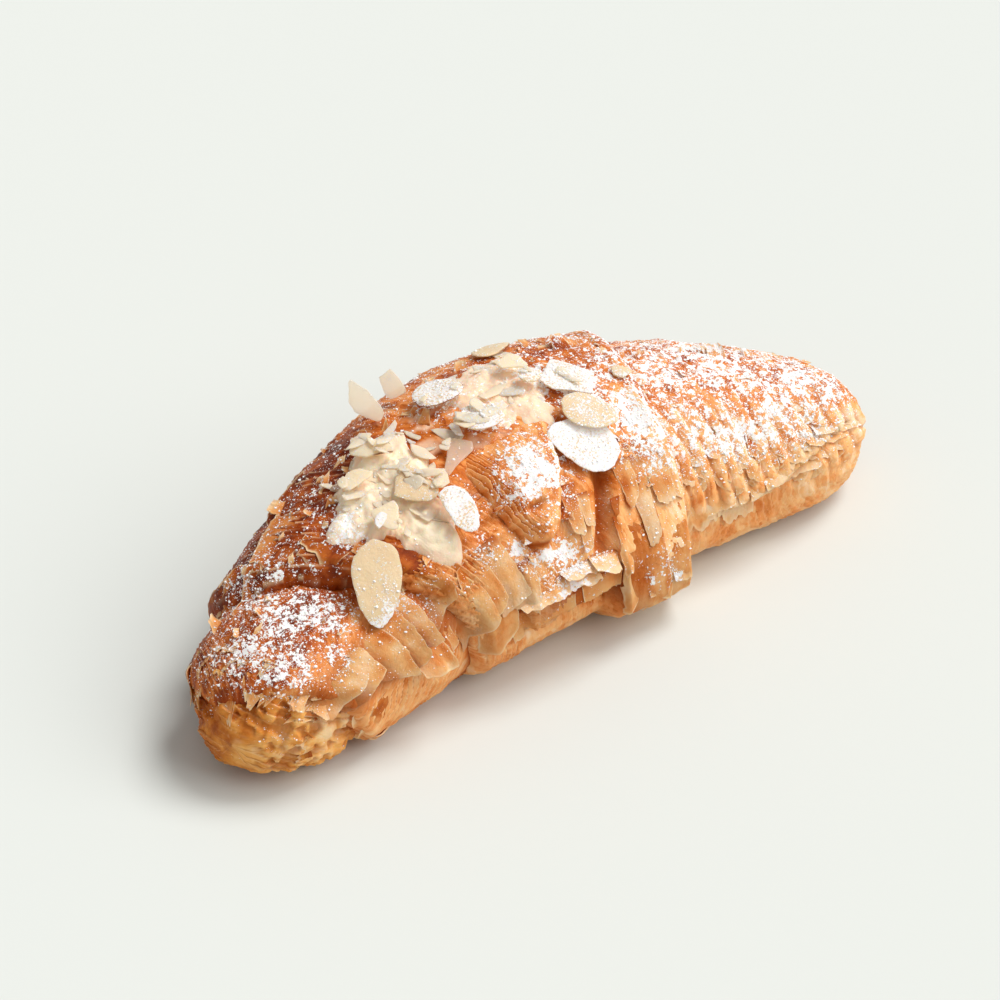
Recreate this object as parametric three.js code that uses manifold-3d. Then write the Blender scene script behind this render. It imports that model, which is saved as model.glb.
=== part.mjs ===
// Almond croissant, lying as it is served, in millimetres with +Z up.
//
// A sheet of laminated dough is rolled from its wide edge to its point and bent into a crescent. The outside
// shows the rims of the wraps, each lying over the next one towards the tips, and the point of the sheet as a
// tongue on the inner side of the bend. Torn layers stand off the sides. Almond cream is baked on in two
// patches along the ridge, and sliced almonds lie on the cream and the crust.
//
// The crust is a function of two surface coordinates: s runs along the roll from the near tip (0) to the far
// tip (1), and phi runs round it in degrees: 0 on the inner side of the bend, 90 on the ridge, 180 on the
// outer side and 270 underneath.
import * as THREE from "three";
import { mergeVertices } from "three/addons/utils/BufferGeometryUtils.js";
import Module from "manifold-3d";

const wasm = await Module();
wasm.setup();

// Driving dimensions of the roll
const LENGTH = 180; // tip to tip
const BEND = 23; // how far the middle of the crescent lies behind its tips
const SETBACK = 21.2; // from the chord between the tips to the middle of the whole croissant
const HALF_WIDTH = { tip: 21, middle: 34 };
const HEIGHT = { tip: 32, middle: 50.5 };
const BELLY = 0.42; // height of the widest point, as a share of the height
const BLUNTNESS = 7.5; // power that rounds off the tips
const BASE_SINK = 1.12; // how far the underside is pressed flat

// Relief of the crust
const RIM_FADE = 14; // a wrap thins out over this distance behind its rim
const GROOVE_FADE = 5; // a groove opens over this distance in front of a rim
const EDGE_GAP = 0.4; // distance of the mesh columns on both sides of a ring
const SOFT_EDGE = 1.8; // half width of the step at a rim that the mesh columns don't follow

// Rims that run round the roll. Each is an oblique ring: s = at + front * cos(phi) + top * sin(phi).
// side is 1 where the covering wrap lies towards the far tip.
const RINGS = [
  { at: 0.075, front: 0.025, top: -0.055, side: 1, rise: 1.8, groove: 0.8 },
  { at: 0.21, front: 0.08, top: -0.045, side: 1, rise: 2.6, groove: 2.6 },
  { at: 0.705, front: -0.012, top: -0.015, side: -1, rise: 2.2, groove: 1.4 },
];
// The tongue: the point of the sheet, a parabola that opens upwards on the inner side of the bend.
const TONGUE = { s: 0.42, phi: 24, reach: 57, halfWidth: 0.08, lean: 0.04, rise: 2.4, groove: 2.2 };
// The cleft between the tongue and the wrap beside it. lean moves it in s for each degree that it climbs.
const CLEFT = { s: 0.54, phi: 29, halfHeight: 24, lean: 0.0012, width: 2.6, depth: 3.6 };
// Brims: rims that run along the roll, low on its inner side, where the outer layers end above the underside.
const BRIMS = [
  { from: 0.365, to: 0.545, phi: -3, climb: 0, rise: 2.4, groove: 2.6 },
  { from: 0.75, to: 0.975, phi: 3, climb: 50, rise: 1.4, groove: 1.2 },
];
// The skirt: the torn wrap beside the cleft, which flares out and hangs down to the counter.
const SKIRT = { from: 0.535, to: 0.685, flare: 5, top: 30, level: -10 };

// Shingles: torn layers that lie on the crust, with a free lower edge that stands proud of it by lift.
// Each is given by its middle and its size in mm along and round the roll.
const SHINGLES = [
  { s: 0.128, phi: 40, along: 16, around: 15, lift: 2 },
  { s: 0.17, phi: 22, along: 15, around: 18, lift: 2.4 },
  { s: 0.24, phi: 10, along: 16, around: 22, lift: 4 },
  { s: 0.275, phi: 28, along: 11, around: 17, lift: 2 },
  { s: 0.33, phi: 20, along: 13, around: 20, lift: 2.4 },
  { s: 0.385, phi: 12, along: 11, around: 17, lift: 2.2 },
  { s: 0.3, phi: 134, along: 16, around: 14, lift: 2.6 },
  { s: 0.607, phi: 27, along: 8, around: 22, lift: 1.8 },
  { s: 0.655, phi: 38, along: 10, around: 14, lift: 1.4 },
  { s: 0.765, phi: 26, along: 11, around: 16, lift: 1.4 },
  { s: 0.825, phi: 26, along: 13, around: 14, lift: 1.4 },
  { s: 0.885, phi: 36, along: 11, around: 12, lift: 1.2 },
];
// The outer side of the bend carries a row of plainer ones.
const OUTER_ROW = { count: 8, from: 0.13, to: 0.87, phi: 155, play: 24, along: 14, around: 17, lift: 1.6 };

// Almond cream: patches given by their middle, half extents in mm along and round the roll, and thickness.
// slant moves the outer side of a patch towards the far tip, in mm along for each mm round.
const CREAMS = [
  { name: "almond_cream_near", s: 0.298, phi: 79, along: 11, around: 24, slant: 0.1, thick: 3 },
  { name: "almond_cream_far", s: 0.5, phi: 89, along: 10.5, around: 15, slant: 0.3, thick: 2.6 },
];
const CREAM_GAP = 0.3; // clearance between the cream and the crust
const CREAM_LOBES = 4; // bulges round a patch's outline
const CREAM_WAVE = 0.1; // depth of those bulges, as a share of the radius

// Sliced almonds: middle, turn of the pointed end from the far tip towards the ridge in degrees, length and
// width. stand, where given, tips the slice up on its edge.
const SLICE_THICK = 1.3;
const SLICE_GAP = 0.3; // clearance to what a slice lies on
const SLICES = [
  { s: 0.205, phi: 63, turn: 224, length: 20.3, width: 11 },
  { s: 0.545, phi: 57, turn: 144, length: 18.5, width: 12.2 },
  { s: 0.575, phi: 66, turn: 324, length: 14, width: 9 },
  { s: 0.591, phi: 84, turn: 301, length: 15.5, width: 12.5 },
  { s: 0.443, phi: 101, turn: 325, length: 12.5, width: 9.5 },
  { s: 0.448, phi: 82, turn: 323, length: 10.5, width: 8 },
  { s: 0.319, phi: 77, turn: 285, length: 12.5, width: 8.7 },
  { s: 0.332, phi: 58, turn: 266, length: 12.5, width: 7.5 },
  { s: 0.287, phi: 95, turn: 337, length: 8.5, width: 5.5 },
  { s: 0.333, phi: 101, turn: 282, length: 13, width: 6.8 },
  { s: 0.266, phi: 76, turn: 248, length: 9, width: 6.2 },
  { s: 0.39, phi: 78, turn: 210, length: 12, width: 6.6 },
  { s: 0.379, phi: 117, turn: 281, length: 6.6, width: 12, stand: 88 },
  { s: 0.422, phi: 119, turn: 278, length: 6.2, width: 8.5, stand: 84 },
  { s: 0.553, phi: 117, turn: 5, length: 10.5, width: 6.5 },
  { s: 0.538, phi: 96, turn: 315, length: 8, width: 6.5 },
  { s: 0.539, phi: 88, turn: 350, length: 6, width: 5.2 },
  { s: 0.665, phi: 83, turn: 277, length: 5.2, width: 5 },
];

// Mesh densities
const BAND_COLUMNS = [6, 15, 40, 24]; // columns between the tips and the rings
const ROWS = [
  { from: -34, to: 104, step: 6 }, // inner side and ridge
  { from: 104, to: 214, step: 10 }, // outer side
  { from: 214, to: 326, step: 16 }, // underside
];

const WELD = 2e-3; // vertices closer than this are one

const CRUST_COLOUR = 0xb8672a;
const CREAM_COLOUR = 0xe3c79a;
const ALMOND_COLOUR = 0xeedcaa;

const radians = THREE.MathUtils.degToRad;
const { smoothstep, lerp } = THREE.MathUtils;

// A small seeded generator of numbers from 0 to 1, so that torn edges come out alike every time.
function seeded(seed) {
  let state = seed;
  return () => {
    state = (state * 1664525 + 1013904223) % 4294967296;
    return state / 4294967296;
  };
}

// The plain crescent

/** Half width, height and plan frame of the roll at s. */
function station(s) {
  const q = 2 * s - 1;
  const bell = Math.cos((Math.PI * q) / 2) ** 2;
  const cap = Math.sqrt(Math.max(0, 1 - Math.abs(q) ** BLUNTNESS));
  const tangent = new THREE.Vector3(LENGTH / 2, -2 * BEND * q, 0).normalize();
  return {
    cap,
    halfWidth: lerp(HALF_WIDTH.tip, HALF_WIDTH.middle, bell ** 1.1) * cap,
    height: lerp(HEIGHT.tip, HEIGHT.middle, bell),
    centre: new THREE.Vector3((LENGTH * q) / 2, BEND * (1 - q * q) - SETBACK, 0),
    outward: new THREE.Vector3(-tangent.y, tangent.x, 0),
  };
}

/** Section of the plain roll: distance towards the outer side of the bend, and height above the counter. */
function section({ halfWidth, height, cap }, phi) {
  const across = Math.cos(radians(phi));
  const up = Math.sin(radians(phi));
  const belly = BELLY * height;
  const rise = (height - belly) * cap * Math.abs(up) ** 0.9;
  const drop = BASE_SINK * belly * cap ** 0.6 * Math.abs(up) ** 0.6;
  return new THREE.Vector2(
    -halfWidth * Math.sign(across) * Math.abs(across) ** 0.9,
    Math.max(0, belly + (up > 0 ? rise : -drop)),
  );
}

// Relief of the crust

/** Height beside a rim: the wrap on the positive side of distance d lies over the one on the negative side. */
function rimHeight(d, rise, groove, soft = SOFT_EDGE) {
  const over = rise * Math.exp(-Math.max(0, d) / RIM_FADE);
  const under = -groove * Math.exp(Math.min(0, d) / GROOVE_FADE);
  if (soft === 0) return d >= 0 ? over : under;
  return lerp(under, over, smoothstep(d, -soft, soft));
}

/** Where a ring crosses the line at phi, as s. */
function ringAt(ring, phi) {
  return ring.at + ring.front * Math.cos(radians(phi)) + ring.top * Math.sin(radians(phi));
}

/** Mean radius of the roll's upper side, and the length in mm of one degree round it. */
const ROLL_RADIUS = 40;
const ROUND_MM = radians(1) * ROLL_RADIUS;

/** Signed distance in mm from the tongue's edge, positive on the tongue. */
function tongueDistance(s, phi) {
  const climb = (phi - TONGUE.phi) / TONGUE.reach;
  const aside = (s - TONGUE.s - TONGUE.lean * climb) / TONGUE.halfWidth;
  const slope = Math.hypot((2 * aside) / (TONGUE.halfWidth * LENGTH), 1 / (TONGUE.reach * ROUND_MM));
  return (climb - aside * aside) / slope;
}

/** Height of one shingle: it swells from its upper edge to its free lower edge, which is scalloped. */
function shingleHeight({ s, phi, along, around, lift }, atS, atPhi) {
  const downwards = phi < 90 ? -1 : 1;
  const u = ((atS - s) * LENGTH) / along + 0.5;
  const v = (downwards * (atPhi - phi) * ROUND_MM) / around + 0.5;
  const edge = 1 - 0.12 * (1 + Math.sin(9 * u + 60 * s));
  if (u <= 0 || u >= 1 || v <= 0) return 0;
  const free = 1 - smoothstep(v, edge - SOFT_EDGE / around, edge + SOFT_EDGE / around);
  return lift * v * free * smoothstep(u, 0, 0.15) * (1 - smoothstep(u, 0.85, 1));
}

/** The outer row of shingles, spread evenly with some play. */
function outerRow(random) {
  return Array.from({ length: OUTER_ROW.count }, (_, k) => ({
    ...OUTER_ROW,
    s: lerp(OUTER_ROW.from, OUTER_ROW.to, (k + 0.6 * (random() - 0.5)) / (OUTER_ROW.count - 1)),
    phi: OUTER_ROW.phi + OUTER_ROW.play * (random() - 0.5),
    lift: OUTER_ROW.lift * lerp(0.6, 1.2, random()),
  }));
}

const LAID_SHINGLES = [...SHINGLES, ...outerRow(seeded(7))];

/** All the relief at a point of the crust, in mm outwards. */
function relief(s, phi) {
  let height = 0;
  for (const ring of RINGS)
    height += rimHeight(ring.side * (s - ringAt(ring, phi)) * LENGTH, ring.rise, ring.groove, 0);
  const overTop = 1 - smoothstep(phi, 40, 75);
  height += overTop * rimHeight(tongueDistance(s, phi), TONGUE.rise, TONGUE.groove);
  const cleft = ((s - CLEFT.s - CLEFT.lean * (phi - CLEFT.phi)) * LENGTH) / CLEFT.width;
  const cleftEnd = (phi - CLEFT.phi) / CLEFT.halfHeight;
  height -= CLEFT.depth * Math.exp(-(cleft ** 2) - cleftEnd ** 4);
  for (const brim of BRIMS) {
    const along = (s - brim.from) / (brim.to - brim.from);
    const inside = smoothstep(along, 0, 0.08) * (1 - smoothstep(along, 0.92, 1));
    const d = (phi - brim.phi - brim.climb * Math.max(0, along) ** 2.5) * ROUND_MM;
    if (phi < 90) height += inside * rimHeight(d, brim.rise, brim.groove);
  }
  for (const shingle of LAID_SHINGLES) height += shingleHeight(shingle, s, phi);
  const clearOfCounter = smoothstep(phi, -50, -12) * (1 - smoothstep(phi, 192, 230));
  const clearOfTips = Math.sqrt(station(s).cap);
  return height * clearOfCounter * clearOfTips;
}

/** How far the skirt flares out towards the inner side of the bend. */
function skirt(s, phi) {
  const along = (s - SKIRT.from) / (SKIRT.to - SKIRT.from);
  const inside = smoothstep(along, 0, 0.08) * (1 - smoothstep(along, 0.94, 1));
  const hang = 1 - smoothstep(phi, SKIRT.level, SKIRT.top);
  return SKIRT.flare * inside * hang * smoothstep(phi, -90, -45);
}

/** The crust's surface, raised by lift. */
function crust(s, phi, lift = 0) {
  const here = station(s);
  const nudge = 0.5;
  const point = section(here, phi);
  const along = section(here, phi + nudge).sub(section(here, phi - nudge));
  const outwards = new THREE.Vector2(-along.y, along.x);
  if (outwards.lengthSq() > 0) outwards.normalize();
  point.addScaledVector(outwards, relief(s, phi) + lift);
  point.x -= skirt(s, phi);
  const base = Math.min(0, -lift);
  return here.centre
    .addScaledVector(here.outward, point.x)
    .setZ(Math.max(base, point.y));
}

// Building closed meshes

/** Geometry from points and triangles that index them. */
function meshOf(points, triangles) {
  const geometry = new THREE.BufferGeometry().setFromPoints(points);
  geometry.setIndex(triangles);
  return geometry;
}

/** A closed solid from a geometry whose vertices may repeat. */
function solidOf(geometry) {
  const merged = mergeVertices(geometry, WELD);
  return new wasm.Manifold(
    new wasm.Mesh({
      numProp: 3,
      vertProperties: new Float32Array(merged.getAttribute("position").array),
      triVerts: new Uint32Array(merged.index.array),
    }),
  );
}

/** The geometry of a solid as it is. */
function surfaceOf(solid) {
  const { vertProperties, triVerts } = solid.getMesh();
  const geometry = new THREE.BufferGeometry();
  geometry.setAttribute("position", new THREE.BufferAttribute(vertProperties, 3));
  geometry.setIndex(new THREE.BufferAttribute(triVerts, 1));
  return geometry;
}

/** The largest body of a solid: loose scraps are dropped and sealed hollows filled. */
function mainBody(solid) {
  const [main] = solid.decompose().sort((a, b) => b.volume() - a.volume());
  return main;
}

/** Closed skin over rings of points, with a point at each end. The rings turn clockwise seen from the start. */
function skinOver(rings, first, last) {
  const size = rings[0].length;
  const points = [first, ...rings.flat(), last];
  const at = (ring, k) => 1 + ring * size + (k % size);
  const triangles = [];
  for (let k = 0; k < size; k += 1) {
    triangles.push(0, at(0, k), at(0, k + 1));
    for (let ring = 0; ring + 1 < rings.length; ring += 1) {
      triangles.push(at(ring, k), at(ring + 1, k), at(ring + 1, k + 1));
      triangles.push(at(ring, k), at(ring + 1, k + 1), at(ring, k + 1));
    }
    triangles.push(at(rings.length - 1, k + 1), at(rings.length - 1, k), points.length - 1);
  }
  return meshOf(points, triangles);
}

/** A disc with an upper and a lower face, split alike: place(radius share, angle, side) gives its points. */
function disc(rings, sectors, place) {
  const face = (side) =>
    Array.from({ length: rings }, (_, ring) =>
      Array.from({ length: sectors }, (_, k) => place((ring + 1) / rings, (2 * Math.PI * k) / sectors, side)),
    );
  const upper = face(1);
  const lower = face(-1).reverse();
  return skinOver([...upper, ...lower], place(0, 0, 1), place(0, 0, -1));
}

// Pastry

/** phi of the mesh rows, closest together on the inner side. */
function rowAngles() {
  return ROWS.flatMap(({ from, to, step }) =>
    Array.from({ length: Math.round((to - from) / step) }, (_, k) => from + k * step),
  ).map((phi) => (phi > 270 ? phi - 360 : phi));
}

/** s of the mesh columns on the line at phi: they crowd towards the rings and leave a gap across each. */
function columnPlaces(phi) {
  const borders = [0, ...RINGS.map((ring) => ringAt(ring, phi)), 1];
  return BAND_COLUMNS.flatMap((count, band) => {
    const start = borders[band] + EDGE_GAP / LENGTH;
    const end = borders[band + 1] - EDGE_GAP / LENGTH;
    return Array.from({ length: count }, (_, k) =>
      lerp(start, end, 0.5 - 0.5 * Math.cos((Math.PI * k) / (count - 1))),
    );
  });
}

/** The whole roll as a closed skin, raised by lift. */
function roll(lift = 0) {
  const lines = rowAngles().map((phi) => columnPlaces(phi).map((s) => crust(s, phi, lift)));
  const rings = lines[0].map((_, column) => lines.map((line) => line[column]));
  return skinOver(rings, crust(0, 0, lift), crust(1, 0, lift));
}

// Almond cream

/** A lobed patch of cream on the crust: domed above, and cut to the crust below with a small clearance. */
function creamSolid({ s, phi, along, around, slant, thick }, clearRoll) {
  const patch = disc(5, 24, (share, angle, side) => {
    const radius = share * (1 + CREAM_WAVE * Math.sin(CREAM_LOBES * angle + s * LENGTH));
    const roundMm = around * radius * Math.sin(angle);
    const alongMm = along * radius * Math.cos(angle) + slant * roundMm;
    const dome = thick * (1 - share ** 4) + CREAM_GAP;
    return crust(s + alongMm / LENGTH, phi + roundMm / ROUND_MM, side > 0 ? dome : -thick);
  });
  return solidOf(patch).subtract(clearRoll);
}

// Sliced almonds

/** Turned frame of the crust under a slice: X to the slice's point, Z away from the crust. */
function seat({ s, phi, turn, length, stand = 0 }) {
  const half = (0.4 * length) / LENGTH;
  const span = (0.4 * length) / ROUND_MM;
  const alongS = crust(s + half, phi).sub(crust(s - half, phi)).normalize();
  const aroundPhi = crust(s, phi + span).sub(crust(s, phi - span)).normalize();
  const away = new THREE.Vector3().crossVectors(alongS, aroundPhi).normalize();
  const side = new THREE.Vector3().crossVectors(away, alongS);
  const frame = new THREE.Matrix4().makeBasis(alongS, side, away);
  frame.multiply(new THREE.Matrix4().makeRotationZ(radians(turn)));
  frame.multiply(new THREE.Matrix4().makeRotationX(radians(stand)));
  return { frame, away, middle: crust(s, phi) };
}

/** A slice at the origin: an oval that narrows to a point at +X and sags along with the roll below it. */
function sliceGeometry({ turn, length, width, stand = 0 }) {
  const along = new THREE.Vector2(Math.cos(radians(turn)), -Math.sin(radians(turn)));
  return disc(2, 14, (share, angle, side) => {
    const taper = 1 - 0.28 * Math.cos(angle);
    const x = (length / 2) * share * Math.cos(angle);
    const y = (width / 2) * share * Math.sin(angle) * taper;
    const round = x * along.y - y * along.x;
    const sag = stand > 0 ? 0 : round ** 2 / (2 * ROLL_RADIUS);
    return new THREE.Vector3(x, y, (side * SLICE_THICK) / 2 - sag);
  });
}

/** Lowers a slice along its seat until it would touch what lies below, and leaves the clearance. */
function settledSlice(slice, below) {
  const { frame, away, middle } = seat(slice);
  const flat = solidOf(sliceGeometry(slice).applyMatrix4(frame));
  const raised = (height) => {
    const { x, y, z } = middle.clone().addScaledVector(away, height);
    return flat.translate([x, y, z]);
  };
  let free = 16;
  let blocked = -2;
  while (free - blocked > 0.05) {
    const trial = (free + blocked) / 2;
    if (raised(trial).intersect(below).isEmpty()) free = trial;
    else blocked = trial;
  }
  return raised(free + SLICE_GAP);
}

// Assembly

function part(name, solid, colour, roughness) {
  const material = new THREE.MeshStandardMaterial({ color: colour, roughness, metalness: 0 });
  const welded = solidOf(surfaceOf(mainBody(solid)));
  const geometry = surfaceOf(mainBody(welded));
  geometry.computeVertexNormals();
  const mesh = new THREE.Mesh(geometry, material);
  mesh.name = name;
  return mesh;
}

const croissant = new THREE.Group();
const pastry = solidOf(roll());
croissant.add(part("pastry", pastry, CRUST_COLOUR, 0.55));

let laid = pastry;
const clearRoll = solidOf(roll(CREAM_GAP));
for (const cream of CREAMS) {
  const solid = creamSolid(cream, clearRoll);
  croissant.add(part(cream.name, solid, CREAM_COLOUR, 0.5));
  laid = laid.add(solid);
}
SLICES.forEach((slice, k) => {
  const solid = settledSlice(slice, laid);
  croissant.add(part(`almond_slice_${String(k + 1).padStart(2, "0")}`, solid, ALMOND_COLOUR, 0.6));
  laid = laid.add(solid);
});

export default croissant;
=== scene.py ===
import math

import bpy
import numpy as np
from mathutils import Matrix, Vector
from mathutils.bvhtree import BVHTree


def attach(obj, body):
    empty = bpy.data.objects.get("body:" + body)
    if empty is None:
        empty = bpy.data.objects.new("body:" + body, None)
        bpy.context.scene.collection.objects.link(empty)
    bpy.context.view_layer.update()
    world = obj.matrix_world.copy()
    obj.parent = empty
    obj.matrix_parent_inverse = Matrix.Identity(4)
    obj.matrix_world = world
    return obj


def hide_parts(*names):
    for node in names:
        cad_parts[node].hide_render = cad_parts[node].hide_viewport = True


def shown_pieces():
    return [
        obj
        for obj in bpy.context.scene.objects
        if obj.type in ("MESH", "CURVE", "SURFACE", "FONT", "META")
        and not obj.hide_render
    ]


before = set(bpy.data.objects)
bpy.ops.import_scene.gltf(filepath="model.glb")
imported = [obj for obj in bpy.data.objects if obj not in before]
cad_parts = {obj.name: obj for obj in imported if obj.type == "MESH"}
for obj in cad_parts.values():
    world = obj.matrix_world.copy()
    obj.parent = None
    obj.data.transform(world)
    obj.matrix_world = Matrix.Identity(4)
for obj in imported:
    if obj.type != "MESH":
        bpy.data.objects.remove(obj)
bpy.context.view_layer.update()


# Wraps
# Laminated dough, rolled up from its wide edge to its point, bent into a crescent and baked. Its outside
# shows four bands: nose, near wrap, middle and far end. Each is a closed barrel that runs on below the
# band lying over it. Sizes are in mm.
LENGTH = 180.0
BEND = 23.0
SETBACK = 21.2
HALF_WIDTH_TIP = 21.0
HALF_WIDTH_MIDDLE = 34.0
HEIGHT_TIP = 32.0
HEIGHT_MIDDLE = 50.5
BELLY = 0.42
BLUNTNESS = 7.5
BASE_SINK = 1.12
ROUND_MM = math.radians(1) * 40.0
SKIRT = {"from": 0.535, "to": 0.685, "flare": 5.0, "top": 30.0, "level": -10.0}


def smooth(x, low, high):
    """0 below low, 1 above high, and the cubic 3t2 - 2t3 between them."""
    t = np.clip((x - low) / (high - low), 0.0, 1.0)
    return t * t * (3.0 - 2.0 * t)


def bump(s, phi, at_s, at_phi, half_s, half_phi):
    """A round hill of height 1 on the roll: a Gaussian in s and in phi."""
    return np.exp(-(((s - at_s) / half_s) ** 2) - ((phi - at_phi) / half_phi) ** 2)


def fullness(s):
    """How full the section is: 1 along the roll, falling to 0 at its two blunt tips."""
    return np.sqrt(np.clip(1.0 - np.abs(2.0 * s - 1.0) ** BLUNTNESS, 0.0, 1.0))


def section(s, phi):
    """Section of the plain roll: a super-ellipse, flat below. s runs from the near tip (0) to the far tip
    (1), and phi is 0 degrees on the inner side of the bend, 90 on the ridge, 180 on the outer side and
    270 underneath. Gives the distance outwards and the height."""
    bell = np.cos(np.pi * np.abs(2.0 * s - 1.0) / 2.0) ** 2
    cap = fullness(s)
    half_width = (HALF_WIDTH_TIP + (HALF_WIDTH_MIDDLE - HALF_WIDTH_TIP) * bell**1.1) * cap
    height = HEIGHT_TIP + (HEIGHT_MIDDLE - HEIGHT_TIP) * bell
    belly = BELLY * height
    across = np.cos(np.radians(phi))
    up = np.sin(np.radians(phi))
    rise = (height - belly) * cap * np.abs(up) ** 0.9
    drop = BASE_SINK * belly * cap**0.6 * np.abs(up) ** 0.6
    outwards = -half_width * np.sign(across) * np.abs(across) ** 0.9
    return outwards, np.maximum(belly + np.where(up > 0, rise, -drop), 0.0)


def skirt_flare(s, phi):
    """How far the torn wrap beside the cleft hangs out: full below SKIRT level, none above SKIRT top."""
    along = (s - SKIRT["from"]) / (SKIRT["to"] - SKIRT["from"])
    inside = smooth(along, -0.02, 0.1) * (1.0 - smooth(along, 0.9, 1.02))
    hang = 1.0 - smooth(phi, SKIRT["level"], SKIRT["top"])
    return SKIRT["flare"] * inside * hang * smooth(phi, -90.0, -45.0)


def stacked(x, y, z):
    """Three arrays of any shapes as the coordinates of points."""
    return np.stack(np.broadcast_arrays(x, y, z), axis=-1)


def unit(ways):
    """Directions (..., 3) at length 1."""
    return ways / np.maximum(np.linalg.norm(ways, axis=-1, keepdims=True), 1e-9)


def roll(s, phi, lift):
    """Points of the bent roll, raised by lift along the normal of its section, and never below the floor.
    Its middle line is a parabola, BEND deep."""
    nudge = 0.5
    outwards, height = section(s, phi)
    out_after, high_after = section(s, phi + nudge)
    out_before, high_before = section(s, phi - nudge)
    normal_out = high_before - high_after
    normal_up = out_after - out_before
    size = np.maximum(np.hypot(normal_out, normal_up), 1e-9)
    outwards = outwards + lift * normal_out / size - skirt_flare(s, phi)
    height = np.maximum(height + lift * normal_up / size, 0.0)
    q = 2.0 * s - 1.0
    tangent_x = LENGTH / 2.0
    tangent_y = -2.0 * BEND * q
    span = np.hypot(tangent_x, tangent_y)
    x = LENGTH * q / 2.0 - outwards * tangent_y / span
    y = BEND * (1.0 - q * q) - SETBACK + outwards * tangent_x / span
    return stacked(x, y, height)


def lattice(cell, seed):
    """Numbers from -1 to 1 for whole lattice cells, by integer hashing: three for each cell."""
    mixed = cell[..., 0] * 73856093 ^ cell[..., 1] * 19349663 ^ cell[..., 2] * 83492791 ^ seed * 40503
    mixed = (mixed & 0xFFFFFFFF).astype(np.uint64)
    values = []
    for odd in (2654435761, 2246822519, 3266489917):
        mixed = (mixed ^ (mixed >> np.uint64(15))) * np.uint64(odd) & np.uint64(0xFFFFFFFF)
        values.append((mixed >> np.uint64(8)).astype(np.float64) / 2**23 - 1.0)
    return values


def noise(points, size, seed):
    """Gradient noise from about -1 to 1 with features of the given size, at points (..., 3)."""
    scaled = points / size
    base = np.floor(scaled)
    part = scaled - base
    cell = base.astype(np.int64)
    fade = part**3 * (part * (part * 6.0 - 15.0) + 10.0)
    total = 0.0
    for corner in np.ndindex(2, 2, 2):
        step = np.array(corner)
        gx, gy, gz = lattice(cell + step, seed)
        away = part - step
        weight = np.prod(np.where(step == 1, fade, 1.0 - fade), axis=-1)
        total = total + weight * (gx * away[..., 0] + gy * away[..., 1] + gz * away[..., 2])
    return 1.6 * total


def noises(points, seed, *kinds):
    """Noise of several strengths and sizes, added up, with seeds that follow one another."""
    return sum(strength * noise(points, size, seed + step) for step, (strength, size) in enumerate(kinds))


def put_mesh(name, points, quads, values, material, replaced=None):
    """A smooth mesh object in metres from points in mm, faces of four corners (of three where the last
    two are one) and values for each point. It takes the material, hangs under the root body, and may
    take the place of a solid."""
    mesh = bpy.data.meshes.new(name)
    mesh.vertices.add(len(points))
    mesh.vertices.foreach_set("co", (points * 0.001).astype(np.float32).ravel())
    three = quads[:, 2] == quads[:, 3]
    sides = np.where(three, 3, 4)
    starts = np.concatenate([[0], np.cumsum(sides)[:-1]])
    used = np.ones(quads.shape, bool)
    used[three, 3] = False
    mesh.loops.add(int(sides.sum()))
    mesh.loops.foreach_set("vertex_index", quads[used].astype(np.int32))
    mesh.polygons.add(len(quads))
    mesh.polygons.foreach_set("loop_start", starts.astype(np.int32))
    mesh.polygons.foreach_set("use_smooth", np.ones(len(quads), bool))
    mesh.update(calc_edges=True)
    mesh.validate()
    for key, value in values.items():
        wide = value.size == 3 * len(points)
        layer = mesh.attributes.new(key, "FLOAT_VECTOR" if wide else "FLOAT", "POINT")
        layer.data.foreach_set("vector" if wide else "value", value.astype(np.float32).ravel())
    mesh.materials.append(material)
    piece = bpy.data.objects.new(name, mesh)
    bpy.context.scene.collection.objects.link(piece)
    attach(piece, "root")
    if replaced:
        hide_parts(replaced)


def grid_quads(rows, columns, closed):
    """Corner numbers of a grid's faces, row by row. A closed grid joins its last row to its first."""
    row = np.arange(rows if closed else rows - 1)[:, None]
    column = np.arange(columns - 1)[None, :]
    after = (row + 1) % rows
    corners = [row * columns + column, row * columns + column + 1, after * columns + column + 1]
    corners.append(after * columns + column)
    return np.stack([c.ravel() for c in np.broadcast_arrays(*corners)], axis=1)


def grid_normals(points, closed):
    """Unit normals of a grid of points (..., rows, columns, 3): the cross product of its two directions."""
    along = np.gradient(points, axis=-2)
    if closed:
        around = np.roll(points, -1, axis=-3) - np.roll(points, 1, axis=-3)
    else:
        around = np.gradient(points, axis=-3)
    return unit(np.cross(along, around))


def node(tree, kind, *fed, **named):
    """Adds a node after the others. fed are its first inputs in order; named are its own settings, or
    inputs with _ for a space. A socket is linked, and anything else is set."""
    made = tree.nodes.new(kind)
    made.location = (220 * len(tree.nodes), 0)
    for key in [key for key in named if hasattr(made, key)]:
        setattr(made, key, named.pop(key))
    inputs = [made.inputs[key.replace("_", " ")] for key in named]
    for socket, value in zip([*made.inputs[:len(fed)], *inputs], [*fed, *named.values()]):
        if isinstance(value, bpy.types.NodeSocket):
            tree.links.new(value, socket)
        else:
            socket.default_value = value
    return made


def worked(tree, operation, *fed):
    """The result of a sum on values or sockets."""
    return node(tree, "ShaderNodeMath", *fed, operation=operation).outputs[0]


def mixed(tree, share, first, second):
    """A colour between two others."""
    return node(tree, "ShaderNodeMix", data_type="RGBA", Factor=share, A=first, B=second).outputs["Result"]


def clouds(tree, scale, detail, roughness, output="Fac"):
    """Noise over the piece, by its Object coordinates."""
    place = node(tree, "ShaderNodeTexCoord").outputs["Object"]
    made = node(tree, "ShaderNodeTexNoise", Vector=place, Scale=scale, Detail=detail, Roughness=roughness)
    return made.outputs[output]


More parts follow.
